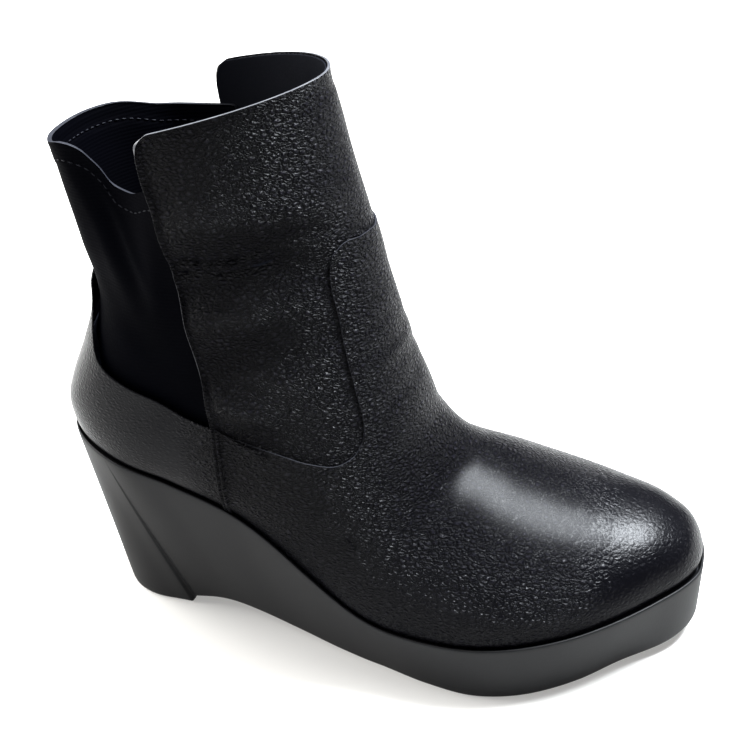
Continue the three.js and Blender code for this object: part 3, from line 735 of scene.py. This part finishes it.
def vamp():
    """Its rows run across the foot, from the toe back to the seams and the foot of the tongue."""
    edges, rises = both_sides(foot_edge), both_sides(seam_rise, True)
    seams = edge_lines(VAMP_SEAM, True)
    share = np.linspace(0, 1, 80)[:, None]
    base = mix(seams[OUTER][-1], seams[INNER][-1], share) - (0, 6) * np.sin(math.pi * share)
    parts = [rises[OUTER], seams[OUTER], base, seams[INNER][::-1], rises[INNER][::-1]]
    for side in SIDES:
        edges[side][-1] = rises[side][0]
    toe = toe_row(edges[OUTER][0], edges[INNER][0])
    rear = joined_line(parts, VAMP_STOPS / VAMP_STOPS[-1])
    foot = cut_panel("vamp_foot", patch(edges[OUTER], edges[INNER], toe, rear), vamp_lift)

    tops, borders = edge_lines(TONGUE_TOP, True), edge_lines(TONGUE_EDGE, True)
    crown = np.array([[1.0, (tops[OUTER][-1, 1] + tops[INNER][-1, 1]) / 2]])
    across = over_middle(tops[OUTER][:-4], crown, tops[INNER][:-4])
    tongue = cut_panel("vamp_tongue", patch(borders[OUTER], borders[INNER], base, across), vamp_lift)
    piece = join_pieces("vamp", [foot, tongue], merge=0.08)
    return finish(piece, wall(LEATHER_THICK, 0.22, rim=1), slots=2)


def tucked(points):
    """How far the leather turns in where it goes down behind the rim of the sole."""
    return 0.75 * bump_at(0, 1.3, points[:, 2] - rim_height(points[:, 0]) - 0.2)


def vamp_lift(points, u, v):
    return VAMP_STEP + creased(points) + softened(points) - tucked(points)


def quarter():
    back, point = pole(0)
    lows = both_sides(feather_line, SEAM_X, point[0], False)
    bottom = over_middle(lows[OUTER][:-1], back, lows[INNER][:-1])
    edges = {side: line[::-1] for side, line in edge_lines(QUARTER_EDGE, False).items()}
    edges = {side: line[np.abs(line[:, 0]) > TAB_WIDTH] for side, line in edges.items()}
    top = over_middle(edges[OUTER], back_peak(QUARTER_PEAK), edges[INNER])
    rises = both_sides(seam_rise, False)
    place = patch(rises[OUTER], rises[INNER], bottom, top)
    return finish(cut_panel("quarter", place, quarter_lift), wall(LEATHER_THICK, 0.22))


def quarter_lift(points, u, v):
    return VAMP_STEP + 0.6 * softened(points) - tucked(points)


# Shaft and lining

def shaft_place(top_drop=0.0):
    edges, corners, lows = (edge_lines(rows, True) for rows in (PANEL_EDGE, PANEL_CORNER, SHAFT_FOOT))
    around = np.linspace(corners[OUTER][-1, 0], corners[INNER][-1, 0], 90)[1:-1]
    along = along_where(around, lambda x: collar_height(x) - top_drop, COLLAR_REACH)
    top = over_middle(corners[OUTER], np.stack([around, along], -1), corners[INNER])
    low = np.concatenate([lows[OUTER], lows[INNER][::-1]])
    return patch(edges[OUTER], edges[INNER], low, top)


def shaft_lift(points, u, v):
    near_edge = np.minimum(u, 1 - u)
    rolled = 0.5 * bump_at(0, 0.012, near_edge) + 0.35 * bump_at(1, 0.012, v)
    groove = 0.6 * bump_at(0.021, 0.006, near_edge)
    return creased(points) + softened(points) + rolled - groove


def shaft():
    piece = cut_panel("shaft_panel", shaft_place(), shaft_lift)
    return finish(piece, wall(LEATHER_THICK + 0.35, 0.3, rim=1), slots=2)


def shaft_lining():
    def lift(points, u, v):
        return LINING_LIFT - 0.15 + creased(points) * 0.8 + softened(points)

    piece = cut_panel("shaft_lining", shaft_place(top_drop=0.5), lift)
    return finish(piece, wall(LINING_THICK, 0.15))


def foot_lining():
    """The lining of vamp and quarter, from the insole up to where the elastic and the shaft begin."""
    even = np.linspace(-1, 1, GRIDS["foot_lining"][0] + 1)

    def place(u, v):
        around = 2 * u - 1
        start = np.interp(around, even, along_foot(even))
        return np.stack([around, mix(start, lining_top(around), v)], -1)

    piece = cut_panel("foot_lining", place, lambda points, u, v: np.full_like(u, LINING_LIFT))
    merge_close(piece, 0.1)
    return finish(piece, wall(LINING_THICK, 0.12, 0))


def along_foot(around):
    """The feather line as a place along for each place around, for a wall that closes on itself."""
    (_, back), (_, tip) = pole(0), pole(1)
    lines = both_sides(feather_line, back[0], tip[0], False)
    result = np.zeros_like(around)
    for side, line in lines.items():
        order = np.argsort(np.abs(line[:, 0]))
        chosen = (around < 0) if side == OUTER else (around >= 0)
        result[chosen] = np.interp(np.abs(around[chosen]), np.abs(line[order, 0]), line[order, 1])
    return result


def lining_top(around):
    height = rise_height(np.interp(np.abs(around), [0, 0.25, 0.5, 0.75, 1], [0.4, 0.2, 0.08, 0.08, 0.3]))
    return along_where(around, lambda x: height, SHANK_REACH)


# Elastic back with its folded hem

SLUMP_X, SLUMP_REACH, SLUMP_DEPTH = 0.16 * FOOT_LENGTH, 0.1 * FOOT_LENGTH, 0.135 * ANKLE_WIDTH


def slump_at(points):
    """The outer side of the elastic slumps inwards below its hem."""
    across = np.cos(math.pi / 2 * np.minimum(np.abs(points[:, 0] - SLUMP_X) / SLUMP_REACH, 1))
    depth = SLUMP_DEPTH * across**2 * ramp(rise_height(0.5), rise_height(0.95), points[:, 2])
    return np.where(points[:, 1] < 0, depth, 0)


# Folds of the elastic, in rows as the creases have them
ELASTIC_FOLDS = [
    (OUTER, 0.135, 0.88, 0.2, 0.58, 3.0, -1.5),
    (OUTER, 0.095, 0.95, 0.16, 0.56, 5.0, -1.5),
    (OUTER, 0.2, 0.9, 0.22, 0.45, 5.0, -0.8),
    (OUTER, 0.13, 0.88, 0.2, 0.5, 4.5, 1.1),
    (OUTER, 0.1, 0.62, 0.22, 0.34, 6.0, 0.7),
    (INNER, 0.1, 0.93, 0.15, 0.5, 7.0, 0.8),
    (INNER, 0.16, 0.9, 0.2, 0.5, 6.0, -0.7),
]


def elastic_place():
    """The elastic's sides run up behind the shaft's rear edges, and its foot behind the quarter."""
    hidden = [(x + ELASTIC_TUCK, rise) for x, rise in PANEL_EDGE[3:7]]
    low_rows = [(x, rise - 0.055) for x, rise in QUARTER_EDGE[2:]]
    sides, tops, lows = {}, {}, {}
    for side in SIDES:
        rows = [(ELASTIC_CORNER, 0.2)] + hidden + [ELASTIC_TOP[side]]
        sides[side] = edge_line(rows, side, False)[:-3]
        hem = [row for row in HEM[side] if 0.09 < row[0] < 0.25]
        hem.append((side_points(rows)[-4][0] / FOOT_LENGTH, ELASTIC_TOP[side][1]))
        tops[side] = edge_line(hem, side, False)[::-1]
        lows[side] = edge_line(low_rows + [(ELASTIC_CORNER, 0.1)], side, False)[::-1]
        tops[side][0], lows[side][0] = sides[side][-1], sides[side][0]
    share = np.linspace(0, 1, 40)[1:-1]
    around = mix(tops[OUTER][-1, 0], tops[INNER][-1, 0], share)

    def hem_height(x):
        outer, inner = (smooth(*np.array(HEM[side]).T, x / FOOT_LENGTH) for side in SIDES)
        return rise_height(mix(outer, inner, share))

    back = np.stack([around, along_where(around, hem_height, COLLAR_REACH)], -1)
    top = over_middle(tops[OUTER], back, tops[INNER])
    low = over_middle(lows[OUTER], back_peak(ELASTIC_FOOT), lows[INNER])
    return patch(sides[OUTER], sides[INNER], low, top)


def hem_down(points, u, v):
    """Distance below the hem's top edge, along each column."""
    columns = np.round(u, 5)
    down = np.zeros(len(points))
    for column in np.unique(columns):
        chosen = np.flatnonzero(columns == column)
        chosen = chosen[np.argsort(-v[chosen])]
        down[chosen] = run_lengths(points[chosen])
    return down


HEM_BAND = 8.5
HEM_STITCHES = HEM_BAND - 1.6


def elastic():
    piece, u, v = sheet_of("elastic_panel", *GRIDS["elastic_panel"])
    points, outwards = skin(*elastic_place()(u, v).T)
    down = hem_down(points, u, v)
    swell = 0.55 * (1 - ramp(HEM_BAND - 0.8, HEM_BAND + 0.4, down))
    swell += 0.35 * bump_at(0.9, 1.1, down) - 0.35 * bump_at(HEM_STITCHES, 0.9, down)
    lift = ELASTIC_LIFT - 0.4 + swell + pushed(points, ELASTIC_FOLDS, 0, ((8, 8), (16, 4)))
    laid = points + outwards * lift[:, None]
    laid[:, 1] += slump_at(points)
    lay(piece, laid, outwards)
    finish(piece, wall(ELASTIC_THICK, 0.5, rim=1), slots=2)
    return piece, (laid, outwards, down, np.round(u, 5))


def hem_line(panel, depth):
    """Points of the elastic at a depth below its hem, from the outer side round the back, and outwards."""
    points, outwards, down, columns = panel
    values = np.concatenate([points, outwards], axis=1)
    rows = []
    for column in np.unique(columns):
        chosen = np.flatnonzero(columns == column)
        chosen = chosen[np.argsort(down[chosen])]
        rows.append([np.interp(depth, down[chosen], values[chosen, k]) for k in range(6)])
    return np.array(rows)[:, :3], np.array(rows)[:, 3:]


# Raised side seams

SEAM_WIDTH = 3.6
# Share of the width, and height in millimetres
SEAM_PROFILE = (
    [0, 0.08, 0.25, 0.42, 0.5, 0.58, 0.75, 0.92, 1],
    [-0.3, 0.2, 0.55, 0.3, -0.05, 0.3, 0.5, 0.2, -0.3],
)


def side_seam(side):
    """Two raised edges with a narrow valley between them, from the quarter's corner to the sole."""

    def place(u, v):
        z = mix(rim_height(SEAM_X) - 1.2, rise_height(SEAM_CORNER[1]) - 0.6, v)
        x = mix(SEAM_X, SEAM_CORNER[0] * FOOT_LENGTH, v) + SEAM_WIDTH * (u - 0.5)
        return on_last(x, z, side, False)

    def lift(points, u, v):
        return VAMP_STEP + np.interp(u, *SEAM_PROFILE) * (1 - 0.6 * ramp(0.93, 1.0, v)) + 0.05

    name = "side_seam_outer" if side == OUTER else "side_seam_inner"
    return finish(cut_panel(name, place, lift), wall(0.5, 0.08))


# Wedge sole

def feather_outline(side, offset):
    """The rim's outline on one side, heel to toe, grown by an offset."""
    (_, back), (_, tip) = pole(0, rim_height), pole(1, rim_height)
    x = mix(back[0], tip[0], eased(140))
    points, _ = skin(*on_last(x, rim_height(x), side, False).T)
    line = points[:, :2]
    line[0], line[-1] = back[:2], tip[:2]
    run = unit(np.gradient(line, axis=0))
    run[0], run[-1] = (0, side), (0, -side)
    return line + side * offset * np.stack([-run[:, 1], run[:, 0]], -1)


class Outline:
    """Both sides of the sole's rim at an offset from the last."""

    def __init__(self, offset):
        self.sides = both_sides(feather_outline, offset)
        self.start = self.sides[OUTER][0, 0]
        self.end = self.sides[OUTER][-1, 0]

    def y_at(self, x, side):
        line = self.sides[side]
        order = np.argsort(line[:, 0])
        return np.interp(x, line[order, 0], line[order, 1])


def round_ends(x):
    heel = np.minimum((x - HEEL_BACK) / (0.5 * HEEL_WIDTH), 1)
    toe = np.minimum((TREAD_TIP - x) / (0.26 * TREAD_WIDTH), 1)
    return np.sqrt(np.maximum(1 - (1 - heel) ** 2, 0)) * np.sqrt(np.maximum(1 - (1 - toe) ** 2, 0))


def underside(x):
    heights = UNDERSIDE["arch"] * ARCH_HEIGHT + UNDERSIDE["spring"] * TOE_SPRING
    under = smooth(UNDERSIDE["x"] * FOOT_LENGTH, heights, x)
    return np.where(x <= HEEL_BREAST, 0, np.maximum(under, 0))


def sole_stations():
    even = mix(HEEL_BACK, TREAD_TIP, eased(111))
    marks = [share * FOOT_LENGTH for share in MARKS]
    sharp = [HEEL_BREAST - 0.3, HEEL_BREAST, HEEL_BREAST + 0.5, HEEL_BREAST + 1.2]
    for mark in marks:
        sharp += [mark + s * (MARK_WIDTH / 2 + d) for s in (-1, 1) for d in (0.0, 0.15)]
    kept = [x for x in even if min(abs(x - s) for s in sharp) > 0.9]
    return np.array(sorted(kept + sharp)), marks


def floor_y(x):
    """The middle of the tread, and half its width."""
    lateral = -(TREAD["heel_lateral"] * HEEL_WIDTH + TREAD["ball_lateral"] * TREAD_WIDTH)
    medial = TREAD["heel_medial"] * HEEL_WIDTH + TREAD["ball_medial"] * TREAD_WIDTH
    knots = TREAD["x"] * FOOT_LENGTH
    low, high = smooth(knots, lateral, x), smooth(knots, medial, x)
    return (low + high) / 2, (high - low) / 2


def sole():
    stations, marks = sole_stations()
    offset = VAMP_STEP + CLEARANCE + 0.1
    inner, outer = Outline(offset), Outline(offset + RIM_WIDTH)
    softer = Outline(offset + RIM_WIDTH - RIM_ROUND)
    floor_knots = [HEEL_BACK, HEEL_BREAST, 0.31 * FOOT_LENGTH, 0.5 * FOOT_LENGTH, TREAD_TIP]

    def on_rim(outline, lower, side):
        knots = [outline.start, 0.08 * FOOT_LENGTH, 0.28 * FOOT_LENGTH, 0.5 * FOOT_LENGTH, outline.end]
        x = smooth(floor_knots, knots, stations)
        return np.stack([x, outline.y_at(x, side), rim_height(x) - lower], -1)

    def on_floor(inset, raised, side):
        middle, half = floor_y(stations)
        wide = np.maximum(half * round_ends(stations) - inset, 0)
        ends = mix(inset, -inset, (stations - HEEL_BACK) / (TREAD_TIP - HEEL_BACK))
        step = np.where(stations > HEEL_BREAST, BREAST_STEP * ramp(0.5, 0.3, stations / FOOT_LENGTH), 0)
        y = middle + side * (wide - np.minimum(step, wide))
        return np.stack([stations + ends, y, underside(stations) + raised], -1)

    def on_wall(share, side):
        high, low = on_rim(outer, RIM_ROUND, side), on_floor(0, EDGE_ROUND, side)
        blend = mix(high, low, share)
        blend[:, 1] = mix(high[:, 1], low[:, 1], share**1.15)
        crease = 0.55 * bump_at(HEEL_BREAST + 0.4, 0.7, stations) * ramp(0.3, 0.62, share)
        blend[:, 1] -= side * crease
        return blend

    def half_loop(side):
        """One side's levels, from the middle of the tread out, up the wall and in over the rim."""
        rows = [on_floor(EDGE_ROUND, 0, side), on_floor(0.3 * EDGE_ROUND, 0.3 * EDGE_ROUND, side)]
        rows += [on_wall(share, side) for share in np.linspace(1, 0, 15)]
        return rows + [on_rim(softer, 0, side), on_rim(inner, 0.1, side), on_rim(inner, GROOVE_DEPTH, side)]

    halves, between = both_sides(half_loop), (0.25, 0.5, 0.75)
    across = [mix(halves[INNER][0], halves[OUTER][0], share) for share in between]
    over = [mix(halves[OUTER][-1], halves[INNER][-1], share) for share in between]
    loops = np.array(across + halves[OUTER] + over + halves[INNER][::-1])
    count = len(loops)
    # The marks are pushed in where they cross the walls, and the tread between the walls stays flat.
    levels = np.arange(count)[:, None]
    on_side = (levels >= len(across) + 2) & (levels < count - 2)
    inwards = np.sign(floor_y(stations)[0] - loops[:, :, 1])
    for mark in marks:
        low = loops[:, :, 2] < underside(mark) + MARK_HEIGHT
        cut = low & on_side & (np.abs(stations - mark) < MARK_WIDTH / 2)
        loops[:, :, 1] += np.where(cut, MARK_DEPTH * inwards, 0)
    piece, u, v = sheet_of("sole_unit", len(stations) - 1, count)
    column = np.round(u * (len(stations) - 1)).astype(int)
    row = np.round(v * count).astype(int) % count
    lay(piece, loops[row, column])
    merge_close(piece, 0.01)
    edit_all(piece, bpy.ops.mesh.normals_make_consistent, inside=False)
    return finish(piece, rounder(1))


def insole():
    outline = Outline(VAMP_STEP - UPPER_THICK - INSOLE_INSET)
    piece, u, v = sheet_of("insole_board", *GRIDS["insole_board"])
    x = mix(outline.start, outline.end, (1 - np.cos(math.pi * u)) / 2)
    y = mix(outline.y_at(x, OUTER), outline.y_at(x, INNER), v)
    edge = np.minimum(v, 1 - v)
    z = bed_height(x) + CLEARANCE + 0.2 + INSOLE_THICK - 0.5 * bump_at(0, 0.03, edge)
    z = z - 0.6 * bump_at(0.5, 0.22, v) * bump_at(0.1 * FOOT_LENGTH, 26, x)
    lay(piece, np.stack([x, y, z], -1), np.tile([0, 0, 1], (len(x), 1)))
    merge_close(piece, 0.2)
    return finish(piece, wall(1.6, 0.3, 0))


# Stitches: one is modelled, and rows are copies of it

STITCH_LENGTH, STITCH_GAP, STITCH_THICK, STITCH_SUNK = 2.1, 0.9, 0.55, 0.24


def one_stitch():
    start_alone()
    bpy.ops.mesh.primitive_uv_sphere_add(segments=8, ring_count=6, radius=0.5)
    stitch = bpy.context.object
    size = (STITCH_LENGTH * 0.001, STITCH_THICK * 0.001, STITCH_THICK * 0.001)
    edit_all(stitch, bpy.ops.transform.resize, value=size)
    points = np.array([vertex.co for vertex in stitch.data.vertices])
    faces = [tuple(face.vertices) for face in stitch.data.polygons]
    bpy.data.objects.remove(stitch)
    return points, faces


def stitch_row(name, path, outwards):
    """Copies of one stitch, end to end along a path on a surface, as one mesh."""
    points, faces = one_stitch()
    run = run_lengths(path)

    def read(rows, at):
        return np.stack([np.interp(at, run, column) for column in rows.T], -1)

    at = np.arange(STITCH_LENGTH, run[-1] - STITCH_LENGTH, STITCH_LENGTH + STITCH_GAP)
    spots, up = read(path, at), read(outwards, at)
    ahead = unit(read(path, at + 0.5) - spots)
    up = unit(up - ahead * np.sum(up * ahead, axis=1, keepdims=True))
    beside = np.cross(up, ahead)
    spots = to_frame(spots + up * (STITCH_THICK / 2 - STITCH_SUNK))
    copies = spots[:, None] + points @ np.stack([ahead, beside, up], axis=1)
    mesh = bpy.data.meshes.new(name)
    all_faces = [tuple(i + n * len(points) for i in face) for n in range(len(at)) for face in faces]
    mesh.from_pydata(copies.reshape(-1, 3).tolist(), [], all_faces)
    mesh.validate()
    row = bpy.data.objects.new(name, mesh)
    bpy.context.scene.collection.objects.link(row)
    row.data.shade_smooth()
    return row


# Materials

class Value:
    """A socket that takes part in sums."""

    def __init__(self, finish_, socket):
        self.finish, self.socket = finish_, socket

    def maths(self, operation, other, swapped=False):
        first, second = (other, self) if swapped else (self, other)
        return self.finish.node("ShaderNodeMath", {"operation": operation}, {0: first, 1: second})

    def most(self, other):
        return self.maths("MAXIMUM", other)

    def __add__(self, other):
        return self.maths("ADD", other)

    __radd__ = __add__

    def __sub__(self, other):
        return self.maths("SUBTRACT", other)

    def __rsub__(self, other):
        return self.maths("SUBTRACT", other, True)

    def __mul__(self, other):
        return self.maths("MULTIPLY", other)

    __rmul__ = __mul__


class Finish:
    """A material and its nodes."""

    def __init__(self, name, settings):
        self.material = bpy.data.materials.new(name)
        self.material.use_nodes = True
        self.tree = self.material.node_tree
        self.shader = self.tree.nodes["Principled BSDF"]
        for socket, value in settings.items():
            self.shader.inputs[socket].default_value = value

    def node(self, kind, settings=None, inputs=None, output=0):
        made = self.tree.nodes.new(kind)
        for name, value in (settings or {}).items():
            setattr(made, name, value)
        for name, value in (inputs or {}).items():
            self.feed(made.inputs[name], value)
        return Value(self, made.outputs[output])

    def feed(self, socket, value):
        if isinstance(value, Value):
            self.tree.links.new(value.socket, socket)
        else:
            socket.default_value = value

    def place(self, scale):
        coordinates = self.node("ShaderNodeTexCoord", output="Object")
        return self.node("ShaderNodeMapping", inputs={"Vector": coordinates, "Scale": scale})

    def axis(self, name):
        coordinates = self.node("ShaderNodeTexCoord", output="Object")
        return self.node("ShaderNodeSeparateXYZ", inputs={0: coordinates}, output=name)

    def noise(self, scale, detail=3.0, rough=0.5, stretch=(1, 1, 1), output="Fac"):
        place = self.place(stretch)
        inputs = {"Vector": place, "Scale": scale, "Detail": detail, "Roughness": rough}
        return self.node("ShaderNodeTexNoise", inputs=inputs, output=output)

    def cells(self, vector, scale):
        """Distance from the edges of a pattern of cells."""
        inputs = {"Vector": vector, "Scale": scale}
        return self.node("ShaderNodeTexVoronoi", {"feature": "DISTANCE_TO_EDGE"}, inputs, output="Distance")

    def between(self, value, low, high):
        """0 below low, 1 above high, soft between them."""
        inputs = {"Value": value, "From Min": low, "From Max": high}
        return self.node("ShaderNodeMapRange", {"interpolation_type": "SMOOTHSTEP"}, inputs)

    def bump(self, height, strength, distance):
        inputs = {"Height": height, "Strength": strength, "Distance": distance}
        return self.node("ShaderNodeBump", inputs=inputs)

    def blend(self, share, one, other):
        inputs = {"Factor": share, 6: one, 7: other}
        return self.node("ShaderNodeMix", {"data_type": "RGBA"}, inputs, output=2)

    def set(self, **sockets):
        names = {"colour": "Base Color", "roughness": "Roughness", "coat": "Coat Weight", "normal": "Normal"}
        for name, value in sockets.items():
            self.feed(self.shader.inputs[names[name]], value)
        return self.material


def pebbled_leather():
    """Grained leather: coarse pebbles on shaft and instep, with painted light on their tops and painted
    shade between them; nearly smooth and glossier at toe and heel.
    """
    shine = {"Specular IOR Level": 0.11, "Coat Roughness": 0.26, "IOR": 1.5, "Coat IOR": 1.4}
    leather = Finish("pebbled_leather", shine)
    warp = leather.noise(180.0, 2.0, output="Color")
    shifted = leather.node(
        "ShaderNodeVectorMath",
        {"operation": "MULTIPLY_ADD"},
        {0: warp, 1: (0.0014, 0.0014, 0.0014), 2: leather.place((1.0, 1.0, 1.6))},
    )
    pebbles = leather.between(leather.cells(shifted, 430.0), 0.0, 0.52)
    small = leather.between(leather.cells(shifted, 900.0), 0.0, 0.3)
    drawn = leather.noise(300.0, 3.0, 0.55, stretch=(0.4, 0.4, 1.7))
    fine = leather.noise(1500.0, 3.0)
    slow = leather.noise(34.0, 2.0)
    toe = leather.between(leather.axis("X"), 0.155, 0.205)
    low = 1 - leather.between(leather.axis("Z"), 0.035, 0.1)
    back = 1 - leather.between(leather.axis("X"), 0.034, 0.056)
    heel = back * (1 - leather.between(leather.axis("Z"), 0.13, 0.16))
    smoothness = toe.most((low * 0.7).most(heel))
    above = leather.between(leather.axis("X") * 0.2 + leather.axis("Z"), 0.08, 0.1)
    front = leather.between(leather.axis("X"), 0.1, 0.15) * above
    glossy = front.most(heel)
    grain = 1 - smoothness * 0.92
    height = (pebbles * 0.75 + small * 0.15 + drawn * 0.3) * grain + fine * 0.03
    normal = leather.bump(height, 1.0, 0.0021)
    # The pebble tops are coloured lighter and the valleys between them near black: painted light on the tops
    # and painted shade in the valleys, over the bump of the grain.
    tops = leather.blend(pebbles, (0.0006, 0.0006, 0.0016, 1), (0.0165, 0.0158, 0.0225, 1))
    plain = leather.blend(slow, (0.002, 0.002, 0.0034, 1), (0.005, 0.005, 0.0068, 1))
    colour = leather.blend(grain, plain, tops)
    roughness = 0.4 - smoothness * 0.06 + (slow - 0.5) * 0.12 - pebbles * grain * 0.1
    return leather.set(colour=colour, roughness=roughness, coat=0.03 + glossy * 0.1, normal=normal)


def edge_with_painted_highlight(name, low, high):
    """A folded, cut or hemmed edge coloured lighter than the face beside it: the lighter colour is a painted
    highlight along the edge, and the higher specular is the edge's own gloss.
    """
    rim = Finish(name, {"Specular IOR Level": 0.45})
    slow = rim.noise(120.0, 3.0)
    return rim.set(colour=rim.blend(slow, low, high), roughness=0.36 + slow * 0.14)


def stretch_knit():
    knit = Finish("stretch_knit", {"Specular IOR Level": 0.03})
    ribs = knit.node(
        "ShaderNodeTexWave",
        {"wave_type": "BANDS", "bands_direction": "Z", "wave_profile": "SIN"},
        {
            "Vector": knit.place((1, 1, 1)), "Scale": 230.0, "Distortion": 1.4,
            "Detail": 1.0, "Detail Scale": 6.0,
        },
        output="Fac",
    )
    threads = knit.noise(900.0, 3.0, stretch=(1.6, 1.6, 0.6))
    slow = knit.noise(40.0, 2.0)
    colour = knit.blend(slow, (0.0003, 0.0004, 0.0012, 1), (0.0008, 0.001, 0.003, 1))
    normal = knit.bump(ribs * 0.5 + threads * 0.6, 0.5, 0.0002)
    return knit.set(colour=colour, roughness=0.62 + threads * 0.16, normal=normal)


def moulded_rubber():
    rubber = Finish("moulded_rubber", {"Specular IOR Level": 0.31})
    skin_ = rubber.noise(900.0, 4.0)
    slow = rubber.noise(26.0, 3.0, stretch=(1, 1, 0.5))
    scuffs = rubber.between(rubber.noise(60.0, 5.0, 0.65, stretch=(1, 1, 5)), 0.6, 0.78)
    near_floor = 1 - rubber.between(rubber.axis("Z"), 0.0, 0.014)
    colour = rubber.blend(slow, (0.0055, 0.0057, 0.0068, 1), (0.0095, 0.0098, 0.011, 1))
    worn = rubber.blend(scuffs * near_floor * 0.7, colour, (0.03, 0.03, 0.031, 1))
    roughness = 0.47 + slow * 0.14 + scuffs * near_floor * 0.2
    return rubber.set(colour=worn, roughness=roughness, normal=rubber.bump(skin_ + slow, 0.3, 0.00012))


def smooth_lining():
    cloth = Finish("lining_cloth", {"Specular IOR Level": 0.12})
    weave = cloth.noise(1400.0, 2.0)
    slow = cloth.noise(50.0, 2.0)
    colour = cloth.blend(slow, (0.002, 0.0026, 0.006, 1), (0.0045, 0.006, 0.012, 1))
    return cloth.set(colour=colour, roughness=0.6 + weave * 0.2, normal=cloth.bump(weave, 0.4, 0.00015))


def waxed_thread():
    thread = Finish("waxed_thread", {"Specular IOR Level": 0.25})
    twist = thread.noise(2500.0, 2.0)
    colour = thread.blend(twist, (0.004, 0.0045, 0.008, 1), (0.01, 0.011, 0.018, 1))
    return thread.set(colour=colour, roughness=0.5 + twist * 0.2)


def studio_floor():
    paper = Finish("studio_paper", {"Specular IOR Level": 0.2})
    tone = paper.noise(3.0, 2.0)
    colour = paper.blend(tone, (0.5, 0.495, 0.48, 1), (0.54, 0.535, 0.52, 1))
    paper.shader.inputs["Emission Color"].default_value = (1.0, 0.99, 0.97, 1)
    paper.shader.inputs["Emission Strength"].default_value = 0.4
    return paper.set(colour=colour, roughness=0.75 + tone * 0.1)


# Putting the bootie together

leather = pebbled_leather()
# The edge finishes are coloured far lighter than the leather and knit beside them: painted highlights along
# the shaft's folded edge, the vamp's cut edge and the elastic's hem.
edge = edge_with_painted_highlight("folded_edge_painted_highlight", (0.045, 0.047, 0.055, 1), (0.12, 0.123, 0.132, 1))
cut_edge_painted_highlight = edge_with_painted_highlight("cut_edge_painted_highlight", (0.018, 0.018, 0.024, 1), (0.055, 0.057, 0.066, 1))
knit = stretch_knit()
hem_edge_painted_highlight = edge_with_painted_highlight("hem_edge_painted_highlight", (0.011, 0.012, 0.016, 1), (0.035, 0.037, 0.046, 1))
rubber = moulded_rubber()
lining = smooth_lining()
thread = waxed_thread()

dress(sole(), rubber, "sole_rubber", "wedge_sole")
dress(insole(), lining, "lining", "insole")
dress(vamp(), leather, "leather", "upper", edge=cut_edge_painted_highlight)
dress(quarter(), leather, "leather", "upper")
dress(shaft(), leather, "leather", "shaft", edge=edge)
dress(shaft_lining(), lining, "lining")
dress(foot_lining(), lining, "lining")
elastic_piece, elastic_panel = elastic()
dress(elastic_piece, knit, "elastic", "elastic_back", edge=hem_edge_painted_highlight)
dress(side_seam(OUTER), leather, "leather", "side_seam_lateral")
dress(side_seam(INNER), leather, "leather", "side_seam_medial")

hem_path, hem_out = hem_line(elastic_panel, HEM_STITCHES)
dress(stitch_row("hem_stitches_outside", hem_path, hem_out), thread, "elastic")
inside_path = hem_path - hem_out * (ELASTIC_THICK + 0.05)
dress(stitch_row("hem_stitches_inside", inside_path, -hem_out), thread, "elastic")

# Floor, lights and camera

def flat_floor():
    start_alone()
    bpy.ops.mesh.primitive_plane_add(size=9.0)
    paper = bpy.context.object
    paper.name = "floor_paper"
    paper.data.materials.append(studio_floor())


def soft_light(name, place, aim, size, watts, colour=(1, 1, 1)):
    light = bpy.data.lights.new(name, "AREA")
    light.shape = "RECTANGLE"
    light.size, light.size_y = size
    light.energy = watts
    light.color = colour
    lamp = bpy.data.objects.new(name, light)
    lamp.location = place
    direction = np.array(aim) - np.array(place)
    lamp.rotation_euler = (
        math.atan2(math.hypot(direction[0], direction[1]), -direction[2]),
        0,
        math.atan2(direction[1], direction[0]) - math.pi / 2,
    )
    bpy.context.scene.collection.objects.link(lamp)


def studio():
    flat_floor()
    soft_light("window", (0.62, 0.3, 1.1), (0.15, 0, 0.05), (0.42, 0.4), 66, (0.92, 0.96, 1.0))
    soft_light("ceiling", (-0.2, 0.6, 2.0), (-0.1, 0.2, 0.0), (2.6, 2.2), 70)
    soft_light("room_left", (-1.1, 0.1, 0.7), (-0.3, -0.1, 0.0), (0.8, 0.8), 31, (1.0, 0.99, 0.97))
    soft_light("room_front", (-0.3, -2.0, 0.42), (0.0, 0.0, 0.12), (1.6, 0.4), 13, (0.95, 0.96, 1.0))
    world = bpy.data.worlds.new("pale_room")
    world.use_nodes = True
    background = world.node_tree.nodes["Background"].inputs
    background["Color"].default_value = (0.93, 0.95, 1.0, 1)
    background["Strength"].default_value = 0.14
    bpy.context.scene.world = world
    bpy.context.scene.view_settings.view_transform = "Standard"
    bpy.context.scene.view_settings.gamma = 0.8


def photo_camera():
    camera = bpy.data.cameras.new("photo_camera")
    camera.sensor_width = 36
    camera.lens = 62
    holder = bpy.data.objects.new("photo_camera", camera)
    holder.location = (0.2241, -0.4160, 0.3687)
    holder.rotation_euler = (math.radians(59.177), math.radians(3.988), math.radians(13.744))
    bpy.context.scene.collection.objects.link(holder)
    bpy.context.scene.camera = holder


studio()
photo_camera()
